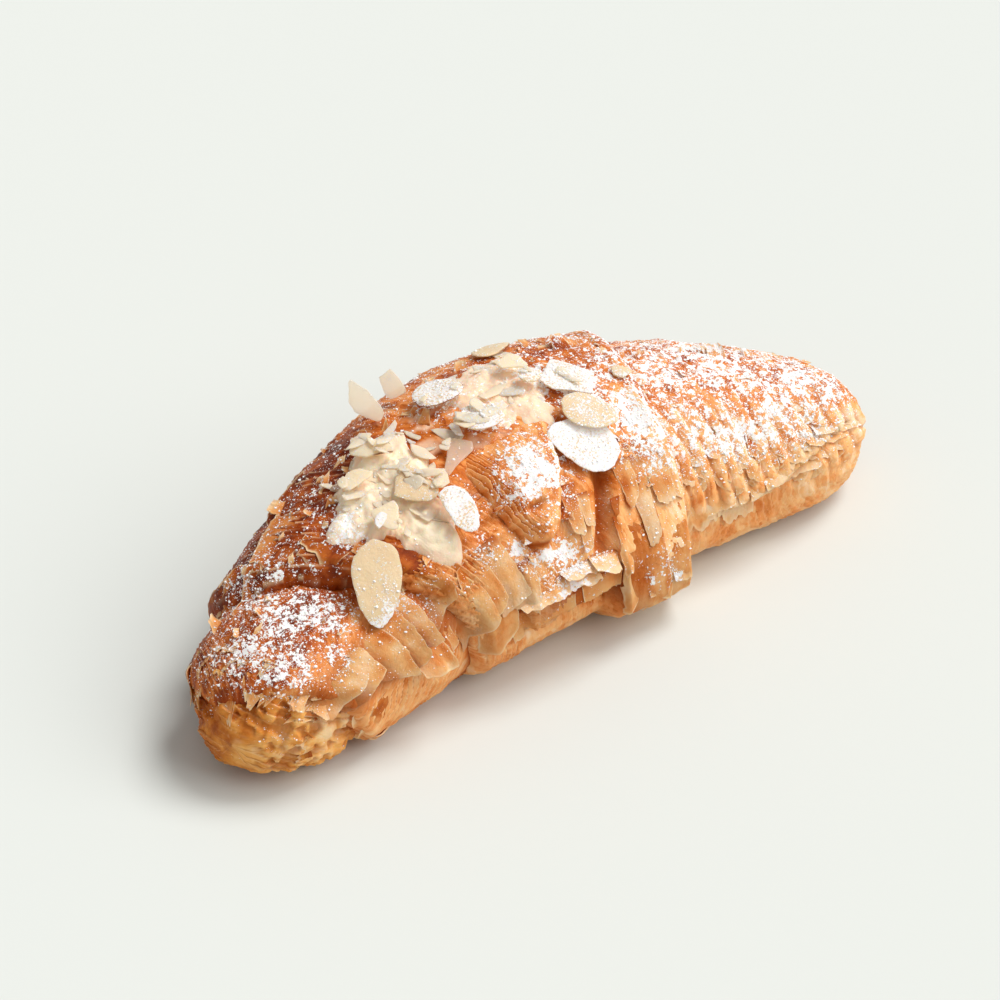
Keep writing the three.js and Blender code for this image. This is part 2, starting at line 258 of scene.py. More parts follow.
def painted(tree, key, output="Fac"):
    """A value that the mesh holds for each of its points."""
    return node(tree, "ShaderNodeAttribute", attribute_name=key).outputs[output]


SUGAR_COLOUR = (0.86, 0.845, 0.83, 1.0)
# Sugar glows a little: painted light that brightens it in its own shade.
SUGAR_PAINTED_GLOW = 0.14
NO_PAINTED_GLOW = (0.0, 0.0, 0.0, 1.0)


def sugar_dust_group():
    """Icing sugar on a surface: specks where noise of the scale and finer rises above what the amount
    leaves free, and a thin haze between them. Gives a mask, and a glow where the sugar lies: painted
    light that brightens the sugar in its own shade."""
    tree = bpy.data.node_groups.new("sugar_dust", "ShaderNodeTree")
    sockets = {"Amount": ("INPUT", "Float"), "Scale": ("INPUT", "Float"), "Mask": ("OUTPUT", "Float"),
               "Glow": ("OUTPUT", "Color")}
    for key, (way, kind) in sockets.items():
        tree.interface.new_socket(key, in_out=way, socket_type="NodeSocket" + kind)
    given = node(tree, "NodeGroupInput").outputs
    specks = clouds(tree, given["Scale"], detail=3.0, roughness=0.72)
    raised = worked(tree, "MULTIPLY_ADD", given["Amount"], 0.4, specks)
    shown = node(tree, "ShaderNodeMapRange", interpolation_type="SMOOTHSTEP", Value=raised, From_Min=0.675,
                 From_Max=0.735).outputs["Result"]
    haze = worked(tree, "MULTIPLY", given["Amount"], 0.03)
    mask = worked(tree, "MAXIMUM", shown, haze)
    node(tree, "NodeGroupOutput", Mask=mask, Glow=mixed(tree, mask, NO_PAINTED_GLOW, SUGAR_COLOUR))
    return tree


sugar_dust = sugar_dust_group()


def plain_finish(name, **values):
    """A material with values on its shader's own sockets, _ standing for a space; its tree and shader."""
    material = bpy.data.materials.new(name)
    material.use_nodes = True
    shader = material.node_tree.nodes["Principled BSDF"]
    for key, value in values.items():
        shader.inputs[key.replace("_", " ")].default_value = value
    return material, material.node_tree, shader


def sugared(material, shader, colour, scale):
    """Lays sugar over a colour where the mesh's dust says so, and gives it a glow: painted light that
    brightens the sugar in shade. Gives the sugared colour and the mask.
    """
    tree = material.node_tree
    dust = node(tree, "ShaderNodeGroup", node_tree=sugar_dust, Amount=painted(tree, "dust"), Scale=scale)
    dusted = mixed(tree, dust.outputs["Mask"], colour, SUGAR_COLOUR)
    tree.links.new(dusted, shader.inputs["Base Color"])
    tree.links.new(dust.outputs["Glow"], shader.inputs["Emission Color"])
    shader.inputs["Emission Strength"].default_value = SUGAR_PAINTED_GLOW
    material.cycles.emission_sampling = "NONE"
    return dusted, dust.outputs["Mask"]


RELIEF_M = 0.0004


def embossed(tree, shader, height, strength):
    """Fine relief: a height of 1 stands for RELIEF_M."""
    relief = node(tree, "ShaderNodeBump", Height=height, Strength=strength, Distance=RELIEF_M)
    tree.links.new(relief.outputs["Normal"], shader.inputs["Normal"])


def lit_through(tree, shader, colour, through, clear):
    """Lets the share through of the light scatter to the other side, and the share clear pass straight."""
    back = node(tree, "ShaderNodeBsdfTranslucent", Color=colour).outputs["BSDF"]
    surface = node(tree, "ShaderNodeMixShader", through, shader.outputs["BSDF"], back).outputs["Shader"]
    if clear > 0.0:
        gap = node(tree, "ShaderNodeBsdfTransparent").outputs["BSDF"]
        surface = node(tree, "ShaderNodeMixShader", clear, surface, gap).outputs["Shader"]
    tree.links.new(surface, tree.nodes["Material Output"].inputs["Surface"])


BAKE_STOPS = [
    (0.0, (0.96, 0.65, 0.39)),
    (0.2, (0.92, 0.49, 0.20)),
    (0.4, (0.83, 0.32, 0.092)),
    (0.6, (0.60, 0.15, 0.018)),
    (0.8, (0.34, 0.055, 0.004)),
    (1.0, (0.14, 0.015, 0.0005)),
]
HONEY_STOPS = [
    (0.0, (0.96, 0.66, 0.36)),
    (0.2, (0.91, 0.46, 0.13)),
    (0.4, (0.77, 0.285, 0.045)),
    (0.6, (0.52, 0.14, 0.016)),
    (0.8, (0.30, 0.06, 0.006)),
    (1.0, (0.15, 0.027, 0.002)),
]
# Pale of torn dough at thin rims and layer crests, lightened further as a painted highlight.
TORN_RIM_AND_HIGHLIGHT_COLOUR = (1.0, 0.74, 0.44, 1.0)
# Colour of the shade that is painted into gaps between layers, hollows and the roots of sheets.
GAP_SHADE_COLOUR = (0.40, 0.075, 0.005, 1.0)
FILM_COLOUR = (0.84, 0.54, 0.36, 1.0)
OVERLAYS = {"edge": TORN_RIM_AND_HIGHLIGHT_COLOUR, "film": FILM_COLOUR, "painted_shade": GAP_SHADE_COLOUR}
FLAKE_SIZES = ((1.0, 0.20), (2.7, 0.14))
FLAKE_STEP = 4.0
MOTTLE = 0.5


def crust_material(name, through, flaky, stops):
    """Browned dough: the bake attribute runs over stops from pale to dark, edge marks thin torn rims and
    the crests of layer lines, pale and with a painted highlight, film a smear of cream, another attribute
    paints shade into gaps between layers, hollows and the roots of sheets, and dust marks icing sugar.
    weave is a place across and along the layers; cells in it are small flakes, each with its own tone
    and height, as strong as flaky says. through is the share of light that a thin sheet lets pass."""
    material, tree, shader = plain_finish(
        name, Specular_IOR_Level=0.1, Subsurface_Weight=0.2, Subsurface_Radius=(1.0, 0.42, 0.16),
        Subsurface_Scale=0.0015)
    fine = clouds(tree, scale=1300.0, detail=3.0, roughness=0.6)
    warp = clouds(tree, scale=330.0, detail=3.0, roughness=0.6, output="Color")
    weave = painted(tree, "weave", "Vector")
    warped = node(tree, "ShaderNodeVectorMath", warp, (1.3, 1.0, 0.0), weave, operation="MULTIPLY_ADD")
    tone = painted(tree, "bake")
    height = fine
    for scale, share in FLAKE_SIZES:
        cells = node(tree, "ShaderNodeTexVoronoi", Vector=warped.outputs[0], Scale=scale)
        flake = node(tree, "ShaderNodeSeparateColor", cells.outputs["Color"]).outputs["Red"]
        tone = worked(tree, "MULTIPLY_ADD", flake, flaky * share, tone)
        height = worked(tree, "MULTIPLY_ADD", flake, FLAKE_STEP * flaky * share, height)
    mean = 0.5 * MOTTLE + 0.5 * flaky * sum(share for scale, share in FLAKE_SIZES)
    tone = worked(tree, "SUBTRACT", tone, mean)
    mottle = clouds(tree, scale=240.0, detail=5.0, roughness=0.62)
    tone = worked(tree, "MULTIPLY_ADD", mottle, MOTTLE, tone)
    browned = node(tree, "ShaderNodeValToRGB", tone)
    while len(browned.color_ramp.elements) < len(stops):
        browned.color_ramp.elements.new(0.5)
    for element, (place, colour) in zip(browned.color_ramp.elements, stops):
        element.position = place
        element.color = (*colour, 1.0)
    colour = browned.outputs["Color"]
    # The overlays paint pale rims with a highlight, a smear of cream, and shade in the gaps.
    for key, over in OVERLAYS.items():
        colour = mixed(tree, painted(tree, key), colour, over)
    dusted, mask = sugared(material, shader, colour, scale=950.0)
    gloss = node(tree, "ShaderNodeMapRange", Value=fine, To_Min=0.32, To_Max=0.62).outputs["Result"]
    tree.links.new(worked(tree, "MAXIMUM", gloss, mask), shader.inputs["Roughness"])
    embossed(tree, shader, worked(tree, "MULTIPLY_ADD", mask, 0.6, height), strength=0.55)
    if through > 0.0:
        lit_through(tree, shader, dusted, through, clear=0.0)
    return material


crust = crust_material("crust", through=0.0, flaky=1.0, stops=BAKE_STOPS)
honey_crust = crust_material("honey_crust", through=0.0, flaky=0.5, stops=HONEY_STOPS)
RIM_FADE = 14.0
GROOVE_FADE = 5.0
RIMS = {
    "nose": {"at": 0.075, "front": 0.025, "top": -0.055, "rise": 1.8, "groove": 0.8, "round": 2.0,
             "side": 1},
    "shoulder": {"at": 0.21, "front": 0.08, "top": -0.045, "rise": 2.6, "groove": 2.6, "round": 4.5,
                 "side": 1},
    "far": {"at": 0.705, "front": -0.012, "top": -0.015, "rise": 2.2, "groove": 1.4, "round": 2.5,
            "side": -1},
}
TONGUE = {"s": 0.42, "phi": 24.0, "reach": 57.0, "half": 0.08, "lean": 0.04, "rise": 2.4, "groove": 2.2}
CLEFT = {"s": 0.54, "phi": 29.0, "half_height": 24.0, "lean": 0.0012, "width": 2.6, "depth": 4.2}
BRIMS = {
    "middle": {"from": 0.365, "to": 0.545, "phi": -3.0, "climb": 0.0, "rise": 2.4, "groove": 2.6},
    "far": {"from": 0.75, "to": 0.975, "phi": 3.0, "climb": 50.0, "rise": 1.4, "groove": 1.2},
}
TUCK = 0.035


def rim_place(rim, phi):
    """s of an oblique ring: at + front cos phi + top sin phi."""
    turn = np.radians(phi)
    return rim["at"] + rim["front"] * np.cos(turn) + rim["top"] * np.sin(turn)


def rim_distance(s, phi, rim):
    """Distance in mm behind a rim on its covering side."""
    return rim["side"] * (s - rim_place(rim, phi)) * LENGTH


def over_rim(s, phi, rim):
    """Height of the covering wrap behind its rim: it thins out, and its edge is rounded over."""
    d = np.maximum(rim_distance(s, phi, rim), 0.0)
    curl = np.clip(1.0 - d / rim["round"], 0.0, 1.0)
    fall = (rim["rise"] + rim["groove"] + 0.8) * (1.0 - np.sqrt(1.0 - curl**2))
    return rim["rise"] * np.exp(-d / RIM_FADE) - fall


def hidden(s, phi, rim, fade):
    """1 under a rim, falling off before it with the distance fade in mm."""
    return np.exp(np.minimum(rim_distance(s, phi, rim), 0.0) / fade)


def under_rim(s, phi, rim):
    """Height of the covered wrap before the rim: it sinks into a groove."""
    return -rim["groove"] * hidden(s, phi, rim, GROOVE_FADE)


def tongue_distance(s, phi):
    """Distance in mm from the tongue's edge, a parabola opening upwards, positive on the tongue."""
    climb = (phi - TONGUE["phi"]) / TONGUE["reach"]
    aside = (s - TONGUE["s"] - TONGUE["lean"] * climb) / TONGUE["half"]
    slope = np.hypot(2.0 * aside / (TONGUE["half"] * LENGTH), 1.0 / (TONGUE["reach"] * ROUND_MM))
    return (climb - aside * aside) / slope


def in_cleft(s, phi, narrow):
    """1 in the middle of the cleft, falling off as a Gaussian across it and faster at its ends."""
    across = (s - CLEFT["s"] - CLEFT["lean"] * (phi - CLEFT["phi"])) * LENGTH / CLEFT["width"]
    end = (phi - CLEFT["phi"]) / CLEFT["half_height"]
    return np.exp(-narrow * across**2 - end**4)


def along_brim(s, brim):
    """0 to 1 along a brim, from its near to its far end."""
    return (s - brim["from"]) / (brim["to"] - brim["from"])


def brim_place(s, brim):
    """phi of a brim, which climbs towards its far end."""
    return brim["phi"] + brim["climb"] * np.clip(along_brim(s, brim), 0.0, 1.0) ** 2.5


def brim_height(s, phi, brim, ragged):
    """A rim along the roll: layers end above it with a torn edge, and the side falls back below."""
    along = along_brim(s, brim)
    inside = smooth(along, 0.0, 0.08) * (1.0 - smooth(along, 0.92, 1.0)) * (phi < 90.0)
    d = (phi - brim_place(s, brim)) * ROUND_MM + ragged
    over = brim["rise"] * np.exp(-np.maximum(d, 0.0) / RIM_FADE)
    under = -brim["groove"] * np.exp(np.minimum(d, 0.0) / GROOVE_FADE)
    return inside * (under + (over - under) * smooth(d, -0.5, 0.5))


def torn(s, phi, seed):
    """How a torn edge strays, in mm: noise of three sizes on the roll."""
    flat = stacked(s * LENGTH, phi * ROUND_MM, 0.0)
    return noises(flat, seed, (1.6, 7.0), (0.9, 2.6), (0.4, 1.0))


def nose_height(s, phi):
    """Relief of the nose: it sinks below the first rim."""
    return under_rim(s, phi, RIMS["nose"])


def wrap_height(s, phi):
    """Relief of the near wrap: it covers the nose and sinks below the shoulder."""
    return over_rim(s, phi, RIMS["nose"]) + under_rim(s, phi, RIMS["shoulder"])


def middle_height(s, phi):
    """Relief of the middle: it covers the wraps on both sides, with the tongue's bed, cleft and brim."""
    height = over_rim(s, phi, RIMS["shoulder"]) + over_rim(s, phi, RIMS["far"])
    over_top = 1.0 - smooth(phi, 40.0, 75.0)
    height = height - over_top * TONGUE["groove"] * np.exp(-np.abs(tongue_distance(s, phi)) / GROOVE_FADE)
    height = height - CLEFT["depth"] * in_cleft(s, phi, 1.0)
    return height + brim_height(s, phi, BRIMS["middle"], torn(s, phi, 31))


def far_height(s, phi):
    """Relief of the far end: it sinks below the last rim and has a brim that climbs to the tip."""
    return under_rim(s, phi, RIMS["far"]) + brim_height(s, phi, BRIMS["far"], torn(s, phi, 37))


def settled(height, s, phi):
    """Relief that fades out towards the floor and the tips."""
    clear = smooth(phi, -50.0, -12.0) * (1.0 - smooth(phi, 192.0, 230.0))
    return height * clear * np.sqrt(fullness(s))


FINE_FROM = -50.0
FINE_TO = 230.0
FINE_ROWS = 350
UNDER_ROWS = 34


def row_angles():
    """phi of the grid rows: close together on the sides and the top, further apart underneath."""
    fine = np.linspace(FINE_FROM, FINE_TO, FINE_ROWS, endpoint=False)
    under = np.linspace(FINE_TO, FINE_FROM + 360.0, UNDER_ROWS, endpoint=False)
    return np.concatenate([fine, np.where(under > 270.0, under - 360.0, under)])


def layer_lines(w, period, seed):
    """Edges of stacked layers: a saw tooth of w that swells slowly and drops at once, each tooth of its own
    height. Gives the height and the share of the way through each tooth."""
    turn = w / period
    whole = np.floor(turn)
    share = turn - whole
    tall = 0.5 + 0.5 * lattice(stacked(whole, 0.0, 0.0).astype(np.int64), seed)[0]
    return share**1.6 * (0.35 + 0.65 * tall), share


SUGAR_DRIFTS = [
    (0.30, 0.085, 70.0, 0.045, 34.0),
    (0.36, 0.13, 112.0, 0.055, 36.0),
    (0.36, 0.05, 92.0, 0.028, 50.0),
    (0.75, 0.014, 38.0, 0.010, 20.0),
    (0.30, 0.145, 74.0, 0.03, 24.0),
    (0.50, 0.111, 47.0, 0.014, 6.0),
    (0.42, 0.195, 50.0, 0.022, 9.0),
    (0.42, 0.235, 38.0, 0.028, 10.0),
    (0.58, 0.232, 88.0, 0.022, 9.0),
    (0.16, 0.25, 108.0, 0.06, 30.0),
    (0.46, 0.335, 40.0, 0.02, 8.0),
    (0.66, 0.462, 54.0, 0.05, 16.0),
    (0.34, 0.415, 54.0, 0.03, 12.0),
    (0.60, 0.385, 30.0, 0.02, 6.0),
    (0.56, 0.425, 20.0, 0.035, 7.0),
    (0.50, 0.465, 13.0, 0.05, 7.0),
    (0.55, 0.45, 3.0, 0.07, 4.0),
    (1.00, 0.62, -5.0, 0.035, 7.0),
    (0.42, 0.64, 58.0, 0.05, 20.0),
    (0.52, 0.79, 96.0, 0.20, 48.0),
    (0.30, 0.92, 70.0, 0.06, 34.0),
    (0.44, 0.79, 44.0, 0.14, 16.0),
    (0.20, 0.45, 128.0, 0.18, 20.0),
    (0.60, 0.445, 102.0, 0.03, 8.0),
    (0.55, 0.454, 83.5, 0.025, 7.0),
    (0.60, 0.341, 59.0, 0.025, 7.0),
    (0.60, 0.552, 58.0, 0.03, 12.0),
    (0.60, 0.593, 84.0, 0.03, 8.0),
    (0.34, 0.55, 95.0, 0.03, 10.0),
]


def sugar_share(s, phi):
    """How much sugar was shaken on: a little everywhere, and round hills of more, each given by its
    height, s, phi and half sizes. The nose lies under the first rim and takes less."""
    amount = 0.09 + sum(most * bump(s, phi, *hill) for most, *hill in SUGAR_DRIFTS)
    amount = amount * (0.45 + 0.55 * smooth(rim_distance(s, phi, RIMS["nose"]), -2.0, 1.0))
    return np.clip(amount, 0.0, 0.85) * smooth(phi, -26.0, -8.0)


def sugar_lay(points, s, phi):
    """Sugar that lies at a place, 0 to 1: its share, drifted by noise of two sizes."""
    drift = noises(points, 701, (0.18, 5.0), (0.30, 2.0))
    return np.clip(sugar_share(s, phi) * (1.0 + 1.2 * drift) + 0.3 * drift, 0.0, 1.0)


def sugar_caught(points, s, phi, up, painted_shade):
    """Sugar that sticks, for the dust attribute: less where a face turns from above, and less in gaps."""
    return sugar_lay(points, s, phi) * smooth(up, -0.05, 0.45) - 0.08 - 0.4 * painted_shade


CREAM_SMEAR = (0.41, 93.0, 0.07, 22.0)
FLAKE_ACROSS = 1.8
FLAKE_ALONG = 6.0


def wrap_piece(name, first, last, height, wrinkles, bake, columns, seed, finish=crust):
    """A band from s = first(phi) to last(phi): the roll with its relief, height(s, phi), then lifted along
    its normals by its wrinkles. Its two ends close in poles."""
    phi = row_angles()[:, None]
    share = np.linspace(0.0, 1.0, columns)[None, :]
    start = first(phi)
    s = start + (last(phi) - start) * share
    phi = np.broadcast_to(phi, s.shape)
    points = roll(s, phi, settled(height(s, phi), s, phi))
    normals = grid_normals(points, True)
    clear = smooth(points[..., 2], 0.3, 3.0)
    lift, painted_shade, edge, across = wrinkles(s, phi, points)
    weave = stacked(across / FLAKE_ACROSS, phi * ROUND_MM * fullness(s) / FLAKE_ALONG, seed)
    points = points + normals * (lift * clear)[..., None]
    points[..., 2] = np.maximum(points[..., 2], 0.0)
    up = grid_normals(points, True)[..., 2]
    film = bump(s, phi, *CREAM_SMEAR) * noises(points, seed + 2, (1.7, 4.5), (1.0, 1.8))
    values = {
        "bake": bake(s, phi) + 0.16 * noise(points, 9.0, seed) + 0.15 * noise(points, 3.2, seed + 1),
        "edge": edge,
        "painted_shade": painted_shade,
        "film": np.clip(film, 0.0, 0.85),
        "dust": sugar_caught(points, s, phi, up, painted_shade),
    }
    rows = points.shape[0]
    ends = [points[:, 0].mean(axis=0), points[:, -1].mean(axis=0)]
    flat = np.concatenate([points.reshape(-1, 3), ends])
    row = np.arange(rows) * columns
    after = np.roll(row, -1)
    first_pole = np.full(rows, rows * columns)
    last_pole = first_pole + 1
    end_column = columns - 1
    near_cap = np.stack([first_pole, row, after, after], axis=1)
    far_cap = np.stack([after + end_column, row + end_column, last_pole, last_pole], axis=1)
    quads = np.concatenate([grid_quads(rows, columns, True), near_cap, far_cap])
    values = {key: np.append(v.ravel(), [v[:, 0].mean(), v[:, -1].mean()]) for key, v in values.items()}
    values["weave"] = np.concatenate([weave.reshape(-1, 3), weave[0, :1], weave[0, -1:]])
    put_mesh(name, flat, quads, values, finish, "pastry")


def crumple(points, w, period, lines, lumps, seed):
    """Layer lines across w, broken up in patches, and lumps of four sizes; shade is painted at the foot of
    each line and a highlight along its crest.
    """
    w = w + 1.1 * noise(points, 14.0, seed) + 0.3 * noise(points, 4.0, seed + 1)
    saw, share = layer_lines(w, period, seed + 2)
    broken = smooth(noise(points, 8.0, seed + 3), -0.35, 0.35)
    lift = lines * saw * broken
    lift = lift + lumps * noises(points, seed + 4, (0.9, 12.0), (0.5, 4.5), (0.3, 1.8), (0.14, 0.9))
    strength = np.clip(np.broadcast_to(lines, saw.shape) / 0.8, 0.0, 1.0)
    # Painted shade at each line's foot and a painted highlight at its crest, where the lines show.
    painted_shade = strength * broken * (1.0 - smooth(share, 0.0, 0.3)) * 0.8
    edge = strength * broken * smooth(share, 0.75, 1.0) * 0.6
    return lift, painted_shade, edge


def deepest(*depths):
    """The largest of several depths at each place."""
    return np.maximum.reduce(np.broadcast_arrays(*depths))


SHOULDER_HOLLOW = (0.187, 81.0, 0.014, 7.0)
# Where shade is painted in the recess below the brim.
BRIM_RECESS_SHADE = (0.45, 0.0, 0.075, 5.0)
CLEFT_HOLE = (0.541, -5.0, 0.016, 8.0)
FAR_CORNER = (0.945, 76.0, 0.035, 26.0)
FAR_TIP = (0.968, 46.0, 0.04, 18.0)
FLUTE_PITCH = 4.6


def nose_crumple(s, phi, points):
    """Layers that end in rings round the tip, with pits between them, and a hollow under the first rim.
    Shade is painted in the pits, in the hollow and at the foot of each layer line.
    """
    layer = points[..., 2] + 0.5 * points[..., 0]
    lift, painted_shade, edge = crumple(points, layer, period=2.1, lines=0.9, lumps=1.0, seed=101)
    pit = deepest(smooth(noise(points, 4.2, 109), 0.0, 0.35), smooth(noise(points, 2.4, 107), 0.05, 0.4))
    pit = pit * smooth(s, 0.001, 0.008)
    hollow = hidden(s, phi, RIMS["nose"], fade=2.4) * smooth(noise(points, 6.0, 110), -0.3, 0.3)
    painted_shade = deepest(0.7 * painted_shade, 0.55 * pit, 0.9 * hollow)
    return (lift - 0.9 * pit - 1.8 * hollow) * smooth(s, 0.0, 0.014), painted_shade, 0.5 * edge, layer


def wrap_crumple(s, phi, points):
    """A smooth wrap with faint lines along its rim, painted amber shade below the fan on its inner side,
    and a hollow under the shoulder, with shade painted in it and under the rim."""
    w = s * LENGTH - 0.35 * (phi - 90.0) * ROUND_MM
    lines = 0.42 + 0.3 * (1.0 - smooth(phi, 20.0, 60.0))
    lift, painted_shade, edge = crumple(points, w, period=1.7, lines=lines, lumps=0.6, seed=121)
    hollow = bump(s, phi, *SHOULDER_HOLLOW)
    under = hidden(s, phi, RIMS["shoulder"], fade=1.8)
    fan_shade = 0.75 * (1.0 - smooth(phi, 38.0, 54.0)) * smooth(phi, 2.0, 14.0)
    return lift - 1.6 * hollow, deepest(painted_shade, fan_shade, hollow, 0.8 * under), edge, w


def middle_crumple(s, phi, points):
    """Lines along the rim on the shoulder and behind the ridge, fine slanting lines on the front, lumps
    on the ridge, and painted shade in the cleft, below the brim, in the hole at the cleft's foot and at
    the foot of each slanting line."""
    shoulder = 1.0 - smooth(s, 0.30, 0.40)
    w = (s - rim_place(RIMS["shoulder"], phi)) * LENGTH
    lines = 0.2 + 0.9 * shoulder + 0.45 * (1.0 - shoulder) * smooth(phi, 108.0, 140.0)
    lift, painted_shade, edge = crumple(points, w, period=1.9, lines=lines, lumps=0.45, seed=141)
    front = smooth(phi, -10.0, 10.0) * (1.0 - smooth(phi, 50.0, 68.0)) * (1.0 - smooth(s, 0.4, 0.48))
    front = front * smooth(noise(points, 6.0, 154), -0.5, 0.3)
    slant = s * LENGTH + 0.55 * phi * ROUND_MM
    wander = 1.4 * noise(points, 9.0, 151) + 0.4 * noise(points, 3.0, 153)
    saw, share = layer_lines(slant + wander, period=1.5, seed=152)
    hole = bump(s, phi, *CLEFT_HOLE)
    dark = deepest(in_cleft(s, phi, 0.9), 0.85 * bump(s, phi, *BRIM_RECESS_SHADE), hole)
    painted_shade = deepest(painted_shade, dark, front * 0.6 * (1.0 - smooth(share, 0.0, 0.35)))
    return lift + 0.5 * front * saw - 3.0 * hole, painted_shade, edge, w + (slant - w) * front


def far_crumple(s, phi, points):
    """Upright flutes on the inner side with painted shade in the troughs between them, lumps on top, and
    a corner that stands up at the tip.
    """
    side = smooth(phi, -5.0, 12.0) * (1.0 - smooth(phi, 55.0, 80.0))
    w = s * LENGTH + 0.15 * phi * ROUND_MM + 1.4 * noise(points, 10.0, 163)
    flute = 0.5 + 0.5 * np.sin(2.0 * np.pi * w / FLUTE_PITCH)
    lines = 0.35 + 0.35 * smooth(phi, 108.0, 140.0)
    lift, painted_shade, edge = crumple(points, w, period=2.3, lines=lines, lumps=0.8, seed=161)
    lift = lift + side * 0.8 * flute**0.7 + 2.6 * bump(s, phi, *FAR_CORNER)
    return lift, deepest(0.6 * painted_shade, side * 0.5 * (1.0 - smooth(flute, 0.0, 0.3))), edge, w


def near_bake(s, phi):
    """The near tip is honey yellow, lightest on the inner side of the bend."""
    return 0.40 - 0.19 * np.cos(np.radians(phi)) + 0.0 * s


def wrap_bake(s, phi):
    """The near wrap is reddish brown on top and golden on its inner side."""
    return 0.36 + 0.39 * smooth(phi, 30.0, 80.0)


def middle_bake(s, phi):
    """The middle is darkest on the near outer shoulder, brown on top and golden low on the inner side;
    there its tone is partly its own and partly painted light that brightens the front.
    """
    brown = 0.29 + 0.31 * smooth(phi, 15.0, 70.0)
    brown = brown + 0.28 * smooth(phi, 55.0, 95.0) * (1.0 - smooth(s, 0.3, 0.42))
    return brown - 0.16 * smooth(s, 0.58, 0.64) * (1.0 - smooth(phi, 40.0, 90.0))


def far_bake(s, phi):
    """The far end is golden, browner on its ridge and pale at its tip."""
    return 0.27 + 0.29 * smooth(phi, 40.0, 82.0) - 0.4 * bump(s, phi, *FAR_TIP)


def at_tip(place):
    """A band's end at a tip of the roll."""
    return lambda phi: place + 0.0 * phi


def at_rim(key, shift):
    """A band's end along a rim, moved by shift in s."""
    return lambda phi: rim_place(RIMS[key], phi) + shift


wrap_piece("nose", at_tip(0.0), at_rim("nose", TUCK), nose_height, nose_crumple, near_bake,
           columns=84, seed=111, finish=honey_crust)
wrap_piece("near_wrap", at_rim("nose", 0.0), at_rim("shoulder", TUCK), wrap_height, wrap_crumple, wrap_bake,
           columns=96, seed=131)
wrap_piece("middle_wrap", at_rim("shoulder", 0.0), at_rim("far", 0.0), middle_height, middle_crumple,
           middle_bake, columns=250, seed=151)
wrap_piece("far_end", at_rim("far", -TUCK), at_tip(1.0), far_height, far_crumple, far_bake,
           columns=170, seed=171)


# Tongue
# The point of the rolled sheet, which ends on the inner side of the bend. Its layers show as fine lines
# inside its near edge, and it swells into a smooth bulge beside the cleft. It lies on the middle wrap.
TONGUE_ROWS = 190
TONGUE_COLUMNS = 120
TONGUE_THICK = 2.2
TONGUE_SPREAD = 1.14
TONGUE_TOP = 1.36
BULGE = (0.432, 34.0, 0.026, 6.5)
BULGE_ABOVE = (0.46, 52.0, 0.04, 10.0)
BULGE_CREASE = (0.428, 42.5, 0.016, 1.6)


def bed_height(s, phi):
    """Relief of the crust below loose pieces: like the wraps, with soft steps at the rims."""
    total = 0.0
    for rim in RIMS.values():
        d = rim_distance(s, phi, rim)
        under = under_rim(s, phi, rim)
        over = rim["rise"] * np.exp(-np.maximum(d, 0.0) / RIM_FADE)
        total = total + under + (over - under) * smooth(d, -1.0, 4.0)
    for brim in BRIMS.values():
        total = total + brim_height(s, phi, brim, 0.0 * s)
    return settled(total, s, phi)


def shell(upper, lower):
    """Points and quads of closed thin shells, from grids (count, rows, columns, 3) of their two faces."""
    count, rows, columns = upper.shape[:3]
    area = rows * columns
    face = grid_quads(rows, columns, False)
    number = np.arange(area).reshape(rows, columns)
    loop = np.concatenate([number[0, :-1], number[:-1, -1], number[-1, :0:-1], number[:0:-1, 0]])
    after = np.roll(loop, -1)
    rim = np.stack([after, loop, loop + area, after + area], axis=1)
    one = np.concatenate([face, face[:, ::-1] + area, rim])
    quads = (one[None] + (np.arange(count) * 2 * area)[:, None, None]).reshape(-1, 4)
    points = np.stack([upper, lower], axis=1).reshape(-1, 3)
    return points, quads


def shell_values(upper, lower):
    """Values of a shell's points in the order that shell() gives them."""
    return np.stack(np.broadcast_arrays(upper, lower), axis=1).ravel()


